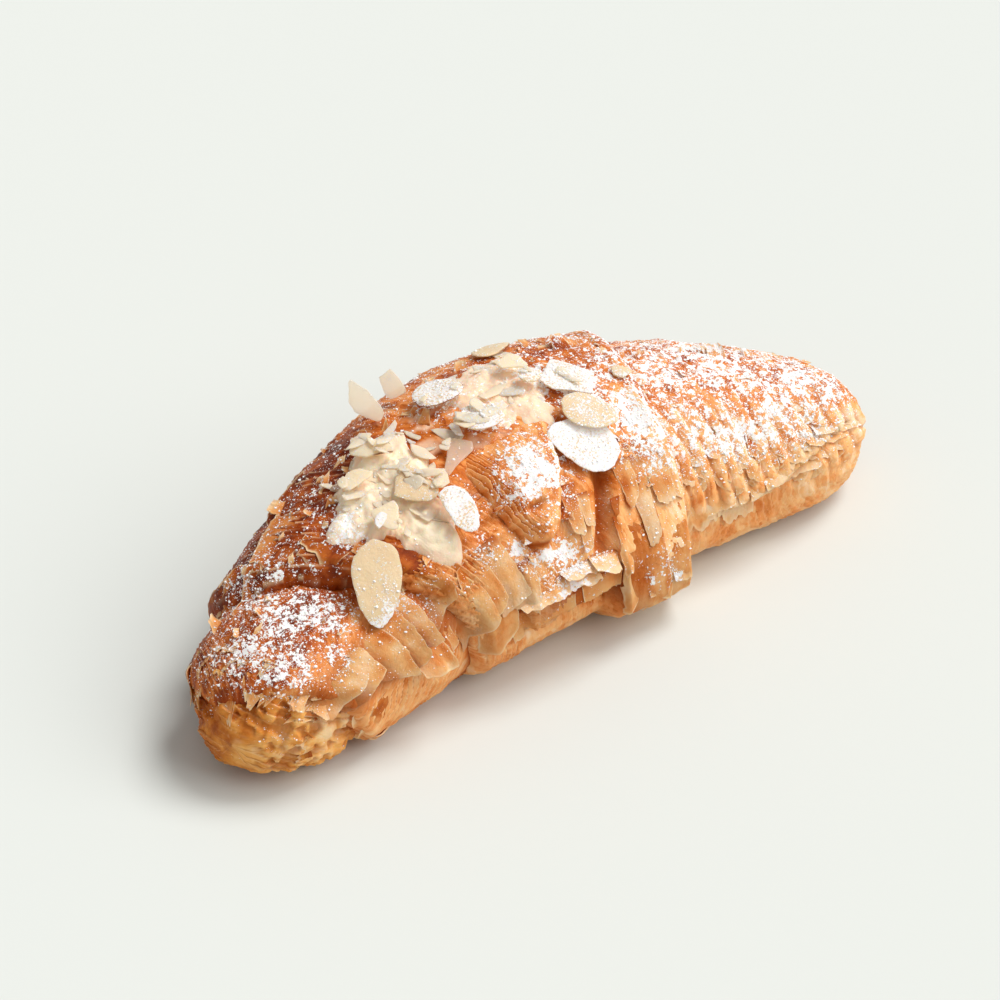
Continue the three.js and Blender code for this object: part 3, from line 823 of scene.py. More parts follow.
def tongue_piece():
    """Rows run across the tongue (a) and columns from its edge up to the ridge (v), between the parabola
    of its edge and TONGUE_TOP: climb = a2 + (top - a2) v. It swells from its edge as a quarter circle."""
    a = np.linspace(-TONGUE_SPREAD, TONGUE_SPREAD, TONGUE_ROWS)[:, None]
    v = np.linspace(0.0, 1.0, TONGUE_COLUMNS)[None, :] ** 1.3
    climb = a * a + (TONGUE_TOP - a * a) * v
    s = TONGUE["s"] + TONGUE["lean"] * climb + TONGUE["half"] * a
    phi = TONGUE["phi"] + TONGUE["reach"] * climb
    flat = stacked(s * LENGTH, phi * ROUND_MM, 0.0)
    stray = torn(s, phi, 211) * (1.0 - smooth(v, 0.0, 0.3))
    phi = phi + stray * 0.7 / ROUND_MM
    d = np.maximum(tongue_distance(s, phi) - stray * 0.4, 0.0)
    near = 1.0 - smooth(a, -0.45, 0.1)
    body = np.sqrt(1.0 - np.clip(1.0 - d / (3.4 + 7.0 * near), 0.0, 1.0) ** 2)
    lift = -1.6 + (TONGUE["rise"] + 1.6) * body
    lift = lift + 1.5 * bump(s, phi, *BULGE) + 0.7 * bump(s, phi, *BULGE_ABOVE)
    crease = np.exp(-(((phi - 26.5 - 2600.0 * (s - 0.428) ** 2) / 1.6) ** 2)) * (np.abs(s - 0.43) < 0.035)
    crease = np.maximum(crease, bump(s, phi, *BULGE_CREASE))
    w = d + 1.3 * noise(flat, 12.0, 213) + 0.25 * noise(flat, 3.0, 214)
    saw, share = layer_lines(w, 1.1, 215)
    coarse, wide = layer_lines(w + 0.7, 2.9, 221)
    fine = near * (1.0 - smooth(d, 8.0, 12.0)) * smooth(phi, 27.0, 36.0)
    fine = fine * smooth(noise(flat, 6.0, 219), -0.75, -0.1)
    lift = lift + fine * (0.4 * saw + 0.8 * coarse) - 1.3 * crease
    lift = lift + 0.8 * noise(flat, 6.0, 216) + 0.3 * noise(flat, 1.8, 217)
    lift = lift * (1.0 - smooth(phi, 58.0, 84.0)) - 0.8 * smooth(phi, 58.0, 84.0)
    bed = bed_height(s, phi)
    upper = roll(s, phi, bed + lift)
    lower = roll(s, phi, bed + lift - TONGUE_THICK)
    up = -grid_normals(upper, False)[..., 2]
    # Painted shade at the foot of the layer lines and in the crease, and a painted highlight, partly pale
    # dough, on the crests of the fine lines.
    gaps = np.maximum(0.4 * (1.0 - smooth(share, 0.0, 0.4)), 0.95 * (1.0 - smooth(wide, 0.0, 0.22)))
    painted_shade = np.clip(fine * gaps + 0.9 * crease, 0.0, 1.0)
    brown = 0.38 + 0.10 * fine + 0.3 * fine * (0.5 - share)
    values = {
        "bake": brown + 0.16 * noise(flat, 6.0, 218) + 0.1 * noise(flat, 2.2, 220),
        "edge": fine * smooth(share, 0.75, 1.0) * 0.35,
        "painted_shade": painted_shade,
        "dust": sugar_caught(upper, s, phi, up, painted_shade),
    }
    points, quads = shell(upper[None], lower[None])
    values = {key: shell_values(v[None], v[None]) for key, v in values.items()}
    weave = stacked(w / FLAKE_ACROSS, a * 4.0, 5.0).reshape(-1, 3)
    values["weave"] = np.concatenate([weave, weave])
    put_mesh("tongue", points, quads[:, ::-1], values, crust, "pastry")


tongue_piece()


# Loose sheets
# Outer layers of the dough that baked crisp, tore and stand off the crust: fans, fringes and flakes. Each
# is a thin shell fixed at its root, with a ragged free edge that stays pale and lets light through; shade
# is painted at its root, and a highlight on its free edge.
SHEET_THICK = 0.3
sheet_finish = crust_material("sheet", through=0.18, flaky=0.45, stops=BAKE_STOPS)
honey_sheet = crust_material("honey_sheet", through=0.3, flaky=0.45, stops=HONEY_STOPS)


def cusps(line, seed):
    """The stray of a torn edge along a line, about -1 to 1: noise folded up, so lobes meet in notches."""
    broad = 3.0 * np.abs(noise(line, 6.0, seed)) - 0.8
    small = 3.0 * np.abs(noise(line, 2.3, seed + 1)) - 0.8
    return 0.6 * broad + 0.4 * small + 0.2 * noise(line, 0.9, seed + 2)


def sheets(name, s, phi, along, reach, turn, lift, bake, ragged, seed, taper=0.2, tilt=0.0, grid=(30, 24),
           fibres=(0.9, 7.0), finish=sheet_finish):
    """Torn sheets, one for each entry of the arrays. A sheet runs from its root (v = 0) at s, phi down
    the roll to its free edge (v = 1), turned by turn degrees towards the far tip. along and reach are its
    width and length, lift is how far its free edge stands off, and tilt lifts its side towards the far
    tip. fibres are the sizes of its grain across and along."""
    count = len(s)
    s, phi, along, reach, turn, lift, bake, taper, tilt = (
        np.broadcast_to(np.asarray(value, float), (count,)).reshape(-1, 1, 1)
        for value in (s, phi, along, reach, turn, lift, bake, taper, tilt))
    order = 40.0 * np.arange(count).reshape(-1, 1, 1)
    u = 0.5 * np.sin(np.linspace(-0.5, 0.5, grid[0]) * np.pi).reshape(1, -1, 1)
    v = 1.0 - (1.0 - np.linspace(0.0, 1.0, grid[1]).reshape(1, 1, -1)) ** 1.5
    end = 1.0 + 3.2 * ragged * cusps(stacked(u * along, order, 0.0), seed) / reach
    stray = 1.6 * ragged * cusps(stacked(v * reach, order + 17.0, 3.0 * np.sign(u)), seed + 3)
    x = u * along * (1.0 - taper * v) + stray * 2.0 * u
    slant = lattice(stacked(order, 0.0, 0.0).astype(np.int64), seed + 5)[0]
    slant = slant * np.minimum(0.4 * along / reach, 0.3)
    y = v * reach * end * (1.0 + 2.0 * slant * u - 0.05 * np.abs(2.0 * u) ** 4)
    angle = np.radians(turn)
    down = np.where(phi < 90.0, -1.0, 1.0)
    at_s = np.clip(s + (x * np.cos(angle) + y * np.sin(angle)) / LENGTH, 0.004, 0.996)
    at_phi = phi + down * (y * np.cos(angle) - x * np.sin(angle)) / ROUND_MM
    flat = stacked(x, y, order)
    fibre = stacked(x / fibres[0], y / fibres[1], order)
    lifted = -0.5 + (lift + 0.5) * v**1.5 + tilt * (u + 0.2) * smooth(v, 0.0, 0.35)
    lifted = lifted + (0.15 + 0.5 * v) * noise(flat, 6.0, seed + 6) * (0.3 + 0.5 * lift)
    lifted = lifted + 0.15 * noise(fibre, 2.6, seed + 7)
    bed = bed_height(at_s, at_phi)
    thick = SHEET_THICK * (1.0 - 0.6 * smooth(v, 0.7, 1.0))
    upper = roll(at_s, at_phi, bed + lifted + thick / 2.0)
    lower = roll(at_s, at_phi, bed + lifted - thick / 2.0)
    upper[..., 2] = np.maximum(upper[..., 2], 0.4)
    lower[..., 2] = np.maximum(lower[..., 2], 0.1)
    facing = np.abs(grid_normals(upper, False)[..., 2])
    # The tone darkens towards the root: painted shade.
    brown = bake + 0.22 - 0.28 * v + 0.26 * noise(flat, 6.0, seed + 9) + 0.08 * noise(fibre, 1.6, seed + 10)
    brown = np.maximum(brown, 0.04)
    # Pale free edge and sides: the torn dough's own pale, with a painted highlight on it.
    side = smooth((np.abs(u) - 0.5) * along, -0.4, 0.0) * smooth(v, 0.1, 0.4)
    pale = np.maximum(smooth((v - 1.0) * reach, -0.9, 0.0), side)
    pale = np.clip(pale * (0.7 + 0.9 * noise(flat, 3.0, seed + 11)), 0.0, 0.9)
    # Painted shade at the root and on the side that tucks under the next sheet.
    tucked_shade = 0.75 * np.clip(tilt / 2.0, 0.0, 1.0) * smooth(-u, -0.25, 0.15)
    painted_shade = np.maximum(0.85 * (1.0 - smooth(v, 0.0, 0.25)), tucked_shade) + 0.0 * at_s
    dust = sugar_lay(upper, at_s, at_phi) * smooth(facing, -0.2, 0.4) - 0.08
    points, quads = shell(upper, lower)
    if down.ravel()[0] > 0:
        quads = quads[:, ::-1]
    values = {
        "bake": shell_values(brown, brown),
        "edge": shell_values(pale, pale),
        "painted_shade": shell_values(painted_shade, 0.0 * painted_shade),
        "dust": shell_values(dust, 0.0 * dust - 0.1),
    }
    weave = stacked(x / (2.9 * fibres[0]), y / (1.3 * fibres[1]), order)
    values["weave"] = np.stack([weave, weave], axis=1).reshape(-1, 3)
    put_mesh(name, points, quads, values, finish, "pastry")


def chosen_sheets(name, rows, ragged, seed):
    """Sheets from rows of s, phi, along, reach, turn, lift, bake, taper and tilt."""
    s, phi, along, reach, turn, lift, bake, taper, tilt = np.array(rows, float).T
    sheets(name, s, phi, along, reach, turn, lift, bake, ragged, seed, taper, tilt)


draw = np.random.default_rng(20)


def spread(low, high, count, play):
    """Evenly spread numbers with some play, as a share of their distance."""
    step = (high - low) / max(count - 1, 1)
    return np.linspace(low, high, count) + play * step * draw.uniform(-0.5, 0.5, count)


def drawn(count, *ranges):
    """Random numbers in several ranges, count in each, drawn one range after the other."""
    return [draw.uniform(low, high, count) for low, high in ranges]


def rim_sheets(name, rim, back, turn, low, high, count, along, reach, lift, bake, seed):
    """Torn rims of a wrap: sheets from phi low to high round the roll, rooted back (in s) behind the rim."""
    phi = spread(low, high, count, play=0.8)
    behind, wider, longer, higher = drawn(count, (0.8, 1.3), (0.7, 1.4), (0.7, 1.2), (0.2, 1.0))
    root = rim_place(RIMS[rim], phi) + back * behind
    brown = bake + draw.uniform(-0.1, 0.1, count)
    sheets(name, root, phi, wider * along, longer * reach, turn, higher * lift, brown, ragged=0.16,
           seed=seed)


# Rims of the wraps, on the inner and on the outer side of the ridge. A row has the rim, back, turn, low,
# high, count, along, reach, lift, bake and seed.
RIM_SHEETS = {
    "nose_rim_inner": ("nose", 0.04, -90.0, -25.0, 88.0, 7, 15.0, 8.0, 1.3, 0.36, 301),
    "nose_rim_outer": ("nose", 0.04, -90.0, 95.0, 200.0, 7, 14.0, 8.0, 1.2, 0.42, 303),
    "shoulder_rim_inner": ("shoulder", 0.05, -90.0, 12.0, 88.0, 6, 14.0, 9.0, 0.7, 0.62, 305),
    "shoulder_rim_outer": ("shoulder", 0.05, -90.0, 95.0, 200.0, 8, 14.0, 9.0, 0.7, 0.66, 307),
    "far_rim_inner": ("far", -0.045, 90.0, 5.0, 88.0, 6, 13.0, 9.0, 0.9, 0.28, 309),
    "far_rim_outer": ("far", -0.045, 90.0, 95.0, 195.0, 7, 13.0, 9.0, 1.2, 0.42, 311),
}
for name, row in RIM_SHEETS.items():
    rim_sheets(name, *row)

# Broad sheets on the near wrap's inner side: long blades, each over the next, and one that hangs free.
chosen_sheets("fan", [
    (0.239, 48.0, 11.0, 18.0, 6.0, 1.4, 0.30, 0.3, 1.6),
    (0.206, 27.0, 8.0, 17.0, 3.0, 4.6, 0.24, -0.1, 0.8),
    (0.186, 54.0, 12.0, 27.0, 10.0, 1.8, 0.20, 0.6, 2.8),
    (0.154, 52.0, 14.0, 30.0, 12.0, 1.8, 0.18, 0.6, 3.4),
    (0.122, 49.0, 15.0, 27.0, 14.0, 1.6, 0.25, 0.5, 3.0),
    (0.088, 46.0, 16.0, 22.0, 12.0, 1.4, 0.22, 0.3, 2.0),
    (0.066, 40.0, 13.0, 14.0, 16.0, 2.4, 0.22, 0.1, 0.8),
    (0.230, 16.0, 6.0, 10.0, 6.0, 1.8, 0.24, 0.3, 0.8),
    (0.246, 18.0, 5.0, 11.0, 0.0, 1.4, 0.30, 0.2, 0.8),
], ragged=0.2, seed=321)

# Torn bits at the first rim: two shards that hang over the nose, and curled ends.
chosen_sheets("nose_tears", [
    (0.060, 50.0, 6.5, 9.0, -30.0, 2.2, 0.12, 0.4, 0.5),
    (0.070, 34.0, 4.0, 10.0, -20.0, 2.6, 0.08, 0.6, 0.5),
    (0.052, 66.0, 5.0, 5.0, -50.0, 1.6, 0.26, 0.3, 0.4),
], ragged=0.2, seed=325)

# Thin honey layers that end all over the nose, each lying over the next towards the tip.
NOSE_LAYERS = 14
for part, low, high in (("inner", -14.0, 86.0), ("outer", 94.0, 176.0)):
    drawn_layers = drawn(NOSE_LAYERS, (0.044, 0.078), (low, high), (5.0, 11.0), (2.2, 4.2), (-110.0, -70.0),
                         (0.1, 0.6), (0.08, 0.5))
    sheets("nose_layers_" + part, *drawn_layers, ragged=0.3, seed=327, taper=0.1, grid=(20, 10),
           fibres=(5.0, 0.9), finish=honey_sheet)

# Sheets on the middle's inner side, between the shoulder and the tongue. Their pale tone is partly
# painted light that brightens the front.
chosen_sheets("low_front", [
    (0.275, 30.0, 11.0, 20.0, 12.0, 0.8, 0.18, 0.2, 1.2),
    (0.303, 36.0, 9.0, 19.0, 10.0, 0.7, 0.20, 0.2, 1.0),
    (0.336, 41.0, 8.5, 23.0, 5.0, 1.3, 0.04, 0.0, 0.8),
    (0.366, 24.0, 9.0, 13.0, 2.0, 0.8, 0.14, 0.2, 0.8),
    (0.325, 12.0, 12.0, 11.0, 0.0, 0.9, 0.20, 0.2, 0.4),
    (0.490, 44.0, 5.0, 15.0, -8.0, 0.8, 0.24, 0.3, 0.4),
    (0.508, 38.0, 3.5, 10.0, -10.0, 0.9, 0.14, 0.3, 0.4),
    (0.496, 27.0, 4.0, 9.0, -10.0, 0.9, 0.16, 0.4, 0.4),
], ragged=0.16, seed=331)

# The torn brim below the tongue: a lip that stands off, in bits, over a lower layer that lies close.
sheets("brim_flaps", [0.425, 0.512, 0.468], [8.5, 10.0, 10.5], [26.0, 10.0, 13.0], [3.4, 3.4, 2.4],
       [2.0, -12.0, -3.0], [2.6, 3.0, 2.2], [0.10, 0.08, 0.02], ragged=0.22, seed=351, taper=0.05,
       grid=(110, 20), fibres=(5.0, 1.0))
sheets("brim_under", [0.40, 0.455, 0.505], [2.0, 1.0, 2.0], [20.0, 18.0, 14.0], [6.0, 5.5, 5.0],
       [0.0, 2.0, -3.0], [0.5, 0.4, 0.6], [0.34, 0.40, 0.34], ragged=0.3, seed=355, taper=0.05,
       grid=(40, 16), fibres=(6.0, 1.2))

# The skirt: broad sheets that reach the floor, with narrower strips hanging over them.
chosen_sheets("skirt_strips", [
    (0.588, 30.0, 13.0, 36.0, 0.0, 0.8, 0.40, -0.1, 1.0),
    (0.640, 22.0, 19.0, 29.0, 0.0, 1.0, 0.30, 0.0, 0.4),
    (0.672, 24.0, 9.0, 24.0, 0.0, 0.6, 0.18, 0.0, 0.4),
    (0.590, 46.0, 6.0, 15.0, 0.0, 0.8, 0.30, 0.3, 0.5),
    (0.607, 45.0, 7.5, 26.0, 0.0, 1.2, 0.06, 0.4, 0.6),
    (0.640, 52.0, 9.0, 22.0, 4.0, 0.7, 0.24, 0.3, 0.4),
    (0.668, 46.0, 10.0, 18.0, 2.0, 0.7, 0.20, 0.3, 0.4),
    (0.615, 0.0, 10.0, 10.0, -6.0, 1.4, 0.34, 0.2, 0.4),
    (0.650, 4.0, 8.0, 9.0, 8.0, 1.0, 0.22, 0.2, 0.4),
    (0.560, 22.0, 5.0, 15.0, -8.0, 1.2, 0.30, 0.4, -1.0),
    (0.562, 6.0, 6.0, 14.0, -8.0, 1.6, 0.26, 0.4, -1.4),
], ragged=0.24, seed=361)

# The far end: small upright sheets on its inner side, and a fringe of torn edges below them.
FLUTES = 60
sheets("flutes", spread(0.71, 0.95, FLUTES, 0.9),
       *drawn(FLUTES, (26.0, 74.0), (3.0, 6.5), (9.0, 17.0), (-10.0, 12.0), (0.2, 0.8), (0.06, 0.42)),
       ragged=0.16, seed=381, taper=0.4, tilt=0.5, grid=(22, 18))
FRINGE = 9
fringe_s = spread(0.725, 0.96, FRINGE, 0.5)
fringe_phi = brim_place(fringe_s, BRIMS["far"]) + draw.uniform(9.0, 13.0, FRINGE)
sheets("fringe", fringe_s, fringe_phi,
       *drawn(FRINGE, (12.0, 20.0), (8.0, 11.0), (-8.0, 8.0), (0.6, 1.4), (0.0, 0.2)),
       ragged=0.36, seed=371, taper=0.05, grid=(60, 22))

# The outer side of the bend, and small flakes all over.
BACK_SHEETS = 34
drawn_back = drawn(BACK_SHEETS, (0.06, 0.94), (105.0, 178.0), (9.0, 16.0), (9.0, 17.0), (-30.0, 30.0),
                   (0.3, 1.2), (0.46, 0.76))
sheets("back_sheets", *drawn_back, ragged=0.4, seed=411, grid=(26, 18))
chosen_sheets("outline_flakes", [
    (0.087, 132.0, 4.0, 4.0, 20.0, 2.4, 0.20, 0.5, 0.0),
    (0.245, 130.0, 5.0, 5.0, -15.0, 2.4, 0.20, 0.5, 0.0),
    (0.826, 98.0, 5.0, 6.0, 0.0, 2.6, 0.35, 0.3, 0.0),
    (0.629, 104.0, 5.0, 5.0, 0.0, 2.5, 0.62, 0.3, 0.0),
], ragged=0.3, seed=415)
CREST = 44
sheets("crest_flakes", spread(0.09, 0.96, CREST, 0.9),
       *drawn(CREST, (96.0, 116.0), (1.5, 5.0), (1.5, 4.0), (-70.0, 70.0), (0.5, 1.8), (0.2, 0.5)),
       ragged=0.35, seed=417, taper=0.4, grid=(9, 7))
chosen_sheets("tip_patch", [
    (0.955, 58.0, 9.0, 11.0, 14.0, 0.5, -0.16, 0.2, 0.4),
    (0.972, 82.0, 8.0, 8.0, 20.0, 0.9, -0.04, 0.3, 0.6),
    (0.940, 36.0, 8.0, 11.0, 8.0, 0.5, 0.06, 0.2, 0.4),
], ragged=0.2, seed=419)
for part, low, high, count in (("inner", 2.0, 88.0, 70), ("outer", 92.0, 180.0, 50)):
    drawn_flakes = drawn(count, (0.03, 0.97), (low, high), (1.5, 4.0), (1.5, 4.0), (-80.0, 80.0),
                         (0.2, 0.9), (0.1, 0.5))
    sheets("flakes_" + part, *drawn_flakes, ragged=0.35, seed=421, taper=0.5, grid=(7, 5))


# Almond cream
# Two patches of baked almond cream along the ridge: spread on before baking, lumpy, pale and soft at the
# rim. They sink into the crust below and hold the almonds.
CREAM_RINGS = 60
CREAM_SECTORS = 220
CREAM_SUNK = 2.0
CREAMS = {
    "cream_near": {
        "node": "almond_cream_near", "s": 0.295, "phi": 80.0, "thick": 2.8, "cover": 0.66, "pink": 0.0,
        "seed": 501, "outline": [
            (0, 10), (33, 18), (46, 22), (67, 22), (86, 20), (114, 18), (138, 14), (147, 19), (160, 17),
            (180, 13), (218, 9), (232, 11), (241, 15), (251, 16), (259, 24), (267, 31), (276, 27),
            (284, 19), (324, 8)],
    },
    "cream_far": {
        "node": "almond_cream_far", "s": 0.5, "phi": 89.0, "thick": 2.0, "cover": 0.34, "pink": 0.6,
        "seed": 521, "outline": [
            (0, 11), (30, 14), (60, 18), (90, 17), (120, 15), (150, 12), (180, 10), (215, 9), (240, 12),
            (270, 13), (290, 16), (320, 11)],
    },
}
CREAM_COLOUR = (0.98, 0.80, 0.585, 1.0)
CREAM_PINK = (0.92, 0.60, 0.42, 1.0)


def cream_material():
    """Pale baked cream, a little pink in places, that lets light in; sugar lies on it."""
    material, tree, shader = plain_finish(
        "cream", Roughness=0.5, Specular_IOR_Level=0.15, Subsurface_Weight=0.5,
        Subsurface_Radius=(1.0, 0.55, 0.3), Subsurface_Scale=0.002)
    blotch = clouds(tree, scale=170.0, detail=3.0, roughness=0.6)
    pink = node(tree, "ShaderNodeMapRange", Value=blotch, From_Min=0.48, From_Max=0.78).outputs["Result"]
    pink = worked(tree, "MAXIMUM", pink, painted(tree, "thin"))
    sugared(material, shader, mixed(tree, pink, CREAM_COLOUR, CREAM_PINK), scale=1200.0)
    grain = clouds(tree, scale=1400.0, detail=3.0, roughness=0.7)
    embossed(tree, shader, grain, strength=0.4)
    return material


cream_finish = cream_material()


def discs(upper, lower):
    """Closed discs from grids (count, rings, sectors, 3) of their upper and lower faces, with rings
    counted from the middle: points, each disc's two poles after its grids, and quads."""
    count, rings, sectors = upper.shape[:3]
    number = np.arange(rings * sectors).reshape(rings, sectors)
    after = np.roll(number, -1, axis=1)
    area = number.size
    face = np.stack([number[:-1], number[1:], after[1:], after[:-1]], axis=-1).reshape(-1, 4)
    rim = np.stack([number[-1], number[-1] + area, after[-1] + area, after[-1]], axis=-1)
    pole = np.full(sectors, 2 * area)
    top_cap = np.stack([pole, number[0], after[0], after[0]], axis=-1)
    low_cap = np.stack([pole + 1, after[0] + area, number[0] + area, number[0] + area], axis=-1)
    one = np.concatenate([face, face[:, ::-1] + area, rim, top_cap, low_cap])
    quads = (one[None] + ((2 * area + 2) * np.arange(count))[:, None, None]).reshape(-1, 4)
    grids = [grid.reshape(count, -1, 3) for grid in (upper, lower)]
    poles = [grid[:, 0].mean(axis=1)[:, None] for grid in (upper, lower)]
    return np.concatenate([*grids, *poles], axis=1).reshape(-1, 3), quads


def disc_values(upper, lower, pole):
    """Values of one disc's points in the order that discs() gives them, with that of its upper pole."""
    return np.concatenate([upper.ravel(), lower.ravel(), [pole, 0.0]])


def cream_piece(name, cream):
    """A disc of rings and sectors on the roll. outline gives its reach in mm at some angles, from the far
    tip's direction over the ridge; between them it runs evenly and wanders a little. It is domed and
    lumpy, and its rim is sunk. Where cover is low, the crust shows between its lumps."""
    share = np.linspace(0.0, 1.0, CREAM_RINGS)[1:, None] ** 0.8
    angle = np.linspace(0.0, 2.0 * np.pi, CREAM_SECTORS, endpoint=False)[None, :]
    seed = cream["seed"]
    circle = stacked(np.cos(angle) * 10.0, np.sin(angle) * 10.0, 0.0)
    turns, reaches = np.array(cream["outline"], float).T
    reach = np.interp(np.degrees(angle), turns, reaches, period=360.0)
    reach = sum(np.roll(reach, step, axis=1) for step in range(-5, 6)) / 11.0
    reach = reach * (1.0 + noises(circle, seed, (0.12, 3.2), (0.10, 1.5)))
    along_mm = share * reach * np.cos(angle)
    round_mm = share * reach * np.sin(angle)
    s = cream["s"] + along_mm / LENGTH
    phi = cream["phi"] + round_mm / ROUND_MM
    flat = stacked(along_mm, round_mm, 0.0)
    lumps = noises(flat, seed + 3, (0.9, 7.0), (0.6, 3.0), (0.2, 1.3))
    dome = cream["thick"] * (cream["cover"] + 0.55 * lumps) * (1.0 - share**4) - 0.9 * share**8
    bed = bed_height(s, phi)
    upper = roll(s, phi, bed + dome + 0.3)
    lower = roll(s, phi, bed - CREAM_SUNK + 0.0 * dome)
    points, quads = discs(upper[None], lower[None])
    thin = np.maximum(smooth(share + 0.0 * lumps, 0.75, 1.0) * 0.7, 0.6 * (1.0 - smooth(dome, 0.0, 1.2)))
    thin = np.maximum(thin, cream["pink"])
    dust = sugar_lay(upper, s, phi) - 0.08 + 0.2 * noise(flat, 2.6, seed + 6)
    values = {"thin": disc_values(thin, thin, 0.0), "dust": disc_values(dust, 0.0 * dust, 0.0)}
    put_mesh(name, points, quads, values, cream_finish, cream["node"])


for name, cream in CREAMS.items():
    cream_piece(name, cream)


# Broken almonds
# Splinters and chips left from slicing almonds, a few with brown skin. They are stuck in the cream and on
# the crust near it, and some stand up. A group has its count and its ranges of s, phi, size and sugar.
SPLINTER_SECTORS = 14
SPLINTER_RINGS = (0.5, 0.9, 1.0)
SPLINTER_HALF = 0.2
SPLINTER_BREAKS = 5
SPLINTER_TIP = 24.0
SPLINTER_GROUPS = {
    "splinters_near": (40, (0.25, 0.35), (66.0, 112.0), (0.7, 1.9), (-0.1, 0.5)),
    "splinters_ridge": (24, (0.35, 0.47), (80.0, 110.0), (0.6, 1.8), (0.0, 0.6)),
    "splinters_far": (20, (0.47, 0.59), (80.0, 110.0), (0.6, 1.8), (0.0, 0.6)),
    "sugared_chip": (1, (0.247, 0.249), (76.0, 77.0), (1.8, 1.8), (0.75, 0.8)),
}
SPLINTER_RAY = (15.0, -5.0)
ALMOND_COLOUR = (0.80, 0.58, 0.33, 1.0)
ALMOND_PALE = (0.90, 0.71, 0.48, 1.0)
CHIP_COLOUR = (0.98, 0.83, 0.60, 1.0)
CHIP_PALE = (1.0, 0.90, 0.72, 1.0)
SHARD_COLOUR = (1.0, 0.95, 0.85, 1.0)
SKIN_COLOUR = (0.30, 0.11, 0.035, 1.0)


def almond_material(name, colour, pale, through, clear):
    """Cut almond: one colour with paler clouds, brown skin where skin is 1, sugar where dust lies. through
    is the share of light that it scatters to its other side, and clear the share that passes straight."""
    material, tree, shader = plain_finish(
        name, Roughness=0.5, Specular_IOR_Level=0.14, Subsurface_Weight=0.45,
        Subsurface_Radius=(1.0, 0.7, 0.4), Subsurface_Scale=0.0015)
    cloudy = clouds(tree, scale=190.0, detail=3.0, roughness=0.55)
    base = mixed(tree, cloudy, colour, pale)
    skinned = mixed(tree, painted(tree, "skin"), base, SKIN_COLOUR)
    dusted, mask = sugared(material, shader, skinned, scale=1900.0)
    grain = clouds(tree, scale=1100.0, detail=3.0, roughness=0.6)
    embossed(tree, shader, worked(tree, "MULTIPLY_ADD", mask, 1.6, grain), strength=0.5)
    lit_through(tree, shader, dusted, through, clear)
    return material


almond_finish = almond_material("almond", ALMOND_COLOUR, ALMOND_PALE, through=0.14, clear=0.0)
chip_finish = almond_material("almond_chip", CHIP_COLOUR, CHIP_PALE, through=0.35, clear=0.0)
thin_finish = almond_material("almond_thin", CHIP_PALE, SHARD_COLOUR, through=0.65, clear=0.3)


def landed(rays_from, rays_along):
    """Where rays first meet a piece: places in mm and normals, for the rays that do."""
    points, faces, first = [], [], 0
    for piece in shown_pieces():
        mesh = piece.data
        own = np.empty(3 * len(mesh.vertices), np.float32)
        mesh.vertices.foreach_get("co", own)
        points.append(own.reshape(-1, 3))
        mesh.calc_loop_triangles()
        corners = np.empty(3 * len(mesh.loop_triangles), np.int32)
        mesh.loop_triangles.foreach_get("vertices", corners)
        faces.append(corners.reshape(-1, 3) + first)
        first += len(mesh.vertices)
    points, faces = np.concatenate(points).tolist(), np.concatenate(faces).tolist()
    tree = BVHTree.FromPolygons(points, faces, all_triangles=True)
    found = [tree.ray_cast(a, b)[:2] for a, b in zip(rays_from.tolist(), rays_along.tolist())]
    found = np.array([(*place, *normal) for place, normal in found if place is not None])
    return found[:, :3] * 1000.0, found[:, 3:]


def splinter_piece(name, count, s_range, phi_range, size_range, dust_range, seed):
    """Thin plates of rings and sectors, each outlined by some straight breaks, laid on the surface and
    tipped. Places, sizes and sugar are drawn from the four ranges."""
    s, phi = drawn(count, s_range, phi_range)
    above, below = (roll(s, phi, lift + 0.0 * s) for lift in SPLINTER_RAY)
    inwards = unit(below - above)
    place, normal = landed(above * 0.001, inwards)
    normal = unit(0.25 * normal - 0.5 * inwards + np.array([0.0, 0.0, 0.4]))
    first = unit(np.cross(normal, draw.normal(0.0, 1.0, (count, 3))))
    second = np.cross(normal, first)
    tip = np.radians(draw.uniform(0.0, 1.0, (count, 1)) ** 2 * SPLINTER_TIP)
    up = np.cos(tip) * normal - np.sin(tip) * second
    second = np.cos(tip) * second + np.sin(tip) * normal
    size = draw.uniform(*size_range, (count, 1, 1))
    angle = np.linspace(0.0, 2.0 * np.pi, SPLINTER_SECTORS, endpoint=False).reshape(1, 1, -1)
    breaks = draw.uniform(0.0, 2.0 * np.pi, (count, SPLINTER_BREAKS, 1))
    levels = draw.uniform(0.55, 0.9, (count, SPLINTER_BREAKS, 1))
    outline = np.min(levels / np.maximum(np.cos(angle - breaks), 0.2), axis=1, keepdims=True)
    share = np.array(SPLINTER_RINGS).reshape(1, -1, 1)
    x = size * 1.3 * outline * share * np.cos(angle)
    y = size * 0.8 * outline * share * np.sin(angle)
    half = SPLINTER_HALF * np.sqrt(1.0 - 0.8 * share**6) + 0.0 * x
    bow = 0.04 * (x * x - y * y) / size
    middle = place + normal * (-0.05 + 0.4 * size[:, :, 0] * np.sin(tip))
    middle, first, second, up = (way[:, None, None] for way in (middle, first, second, up))
    flat = middle + x[..., None] * first + y[..., None] * second
    upper = flat + (bow + half)[..., None] * up
    lower = flat + (bow - half)[..., None] * up
    points, quads = discs(upper, lower)
    each = len(points) // count
    skin = np.repeat((draw.uniform(0.0, 1.0, count) < 0.08) * 0.8, each)
    skin = skin * smooth(noise(points, 2.0, seed), 0.0, 0.3)
    dust = np.repeat(draw.uniform(*dust_range, count), each) + 0.2 * noise(points, 1.6, seed + 1)
    put_mesh(name, points, quads, {"skin": skin, "dust": dust}, chip_finish)


for step, (name, row) in enumerate(SPLINTER_GROUPS.items()):
    splinter_piece(name, *row, seed=661 + 7 * step)


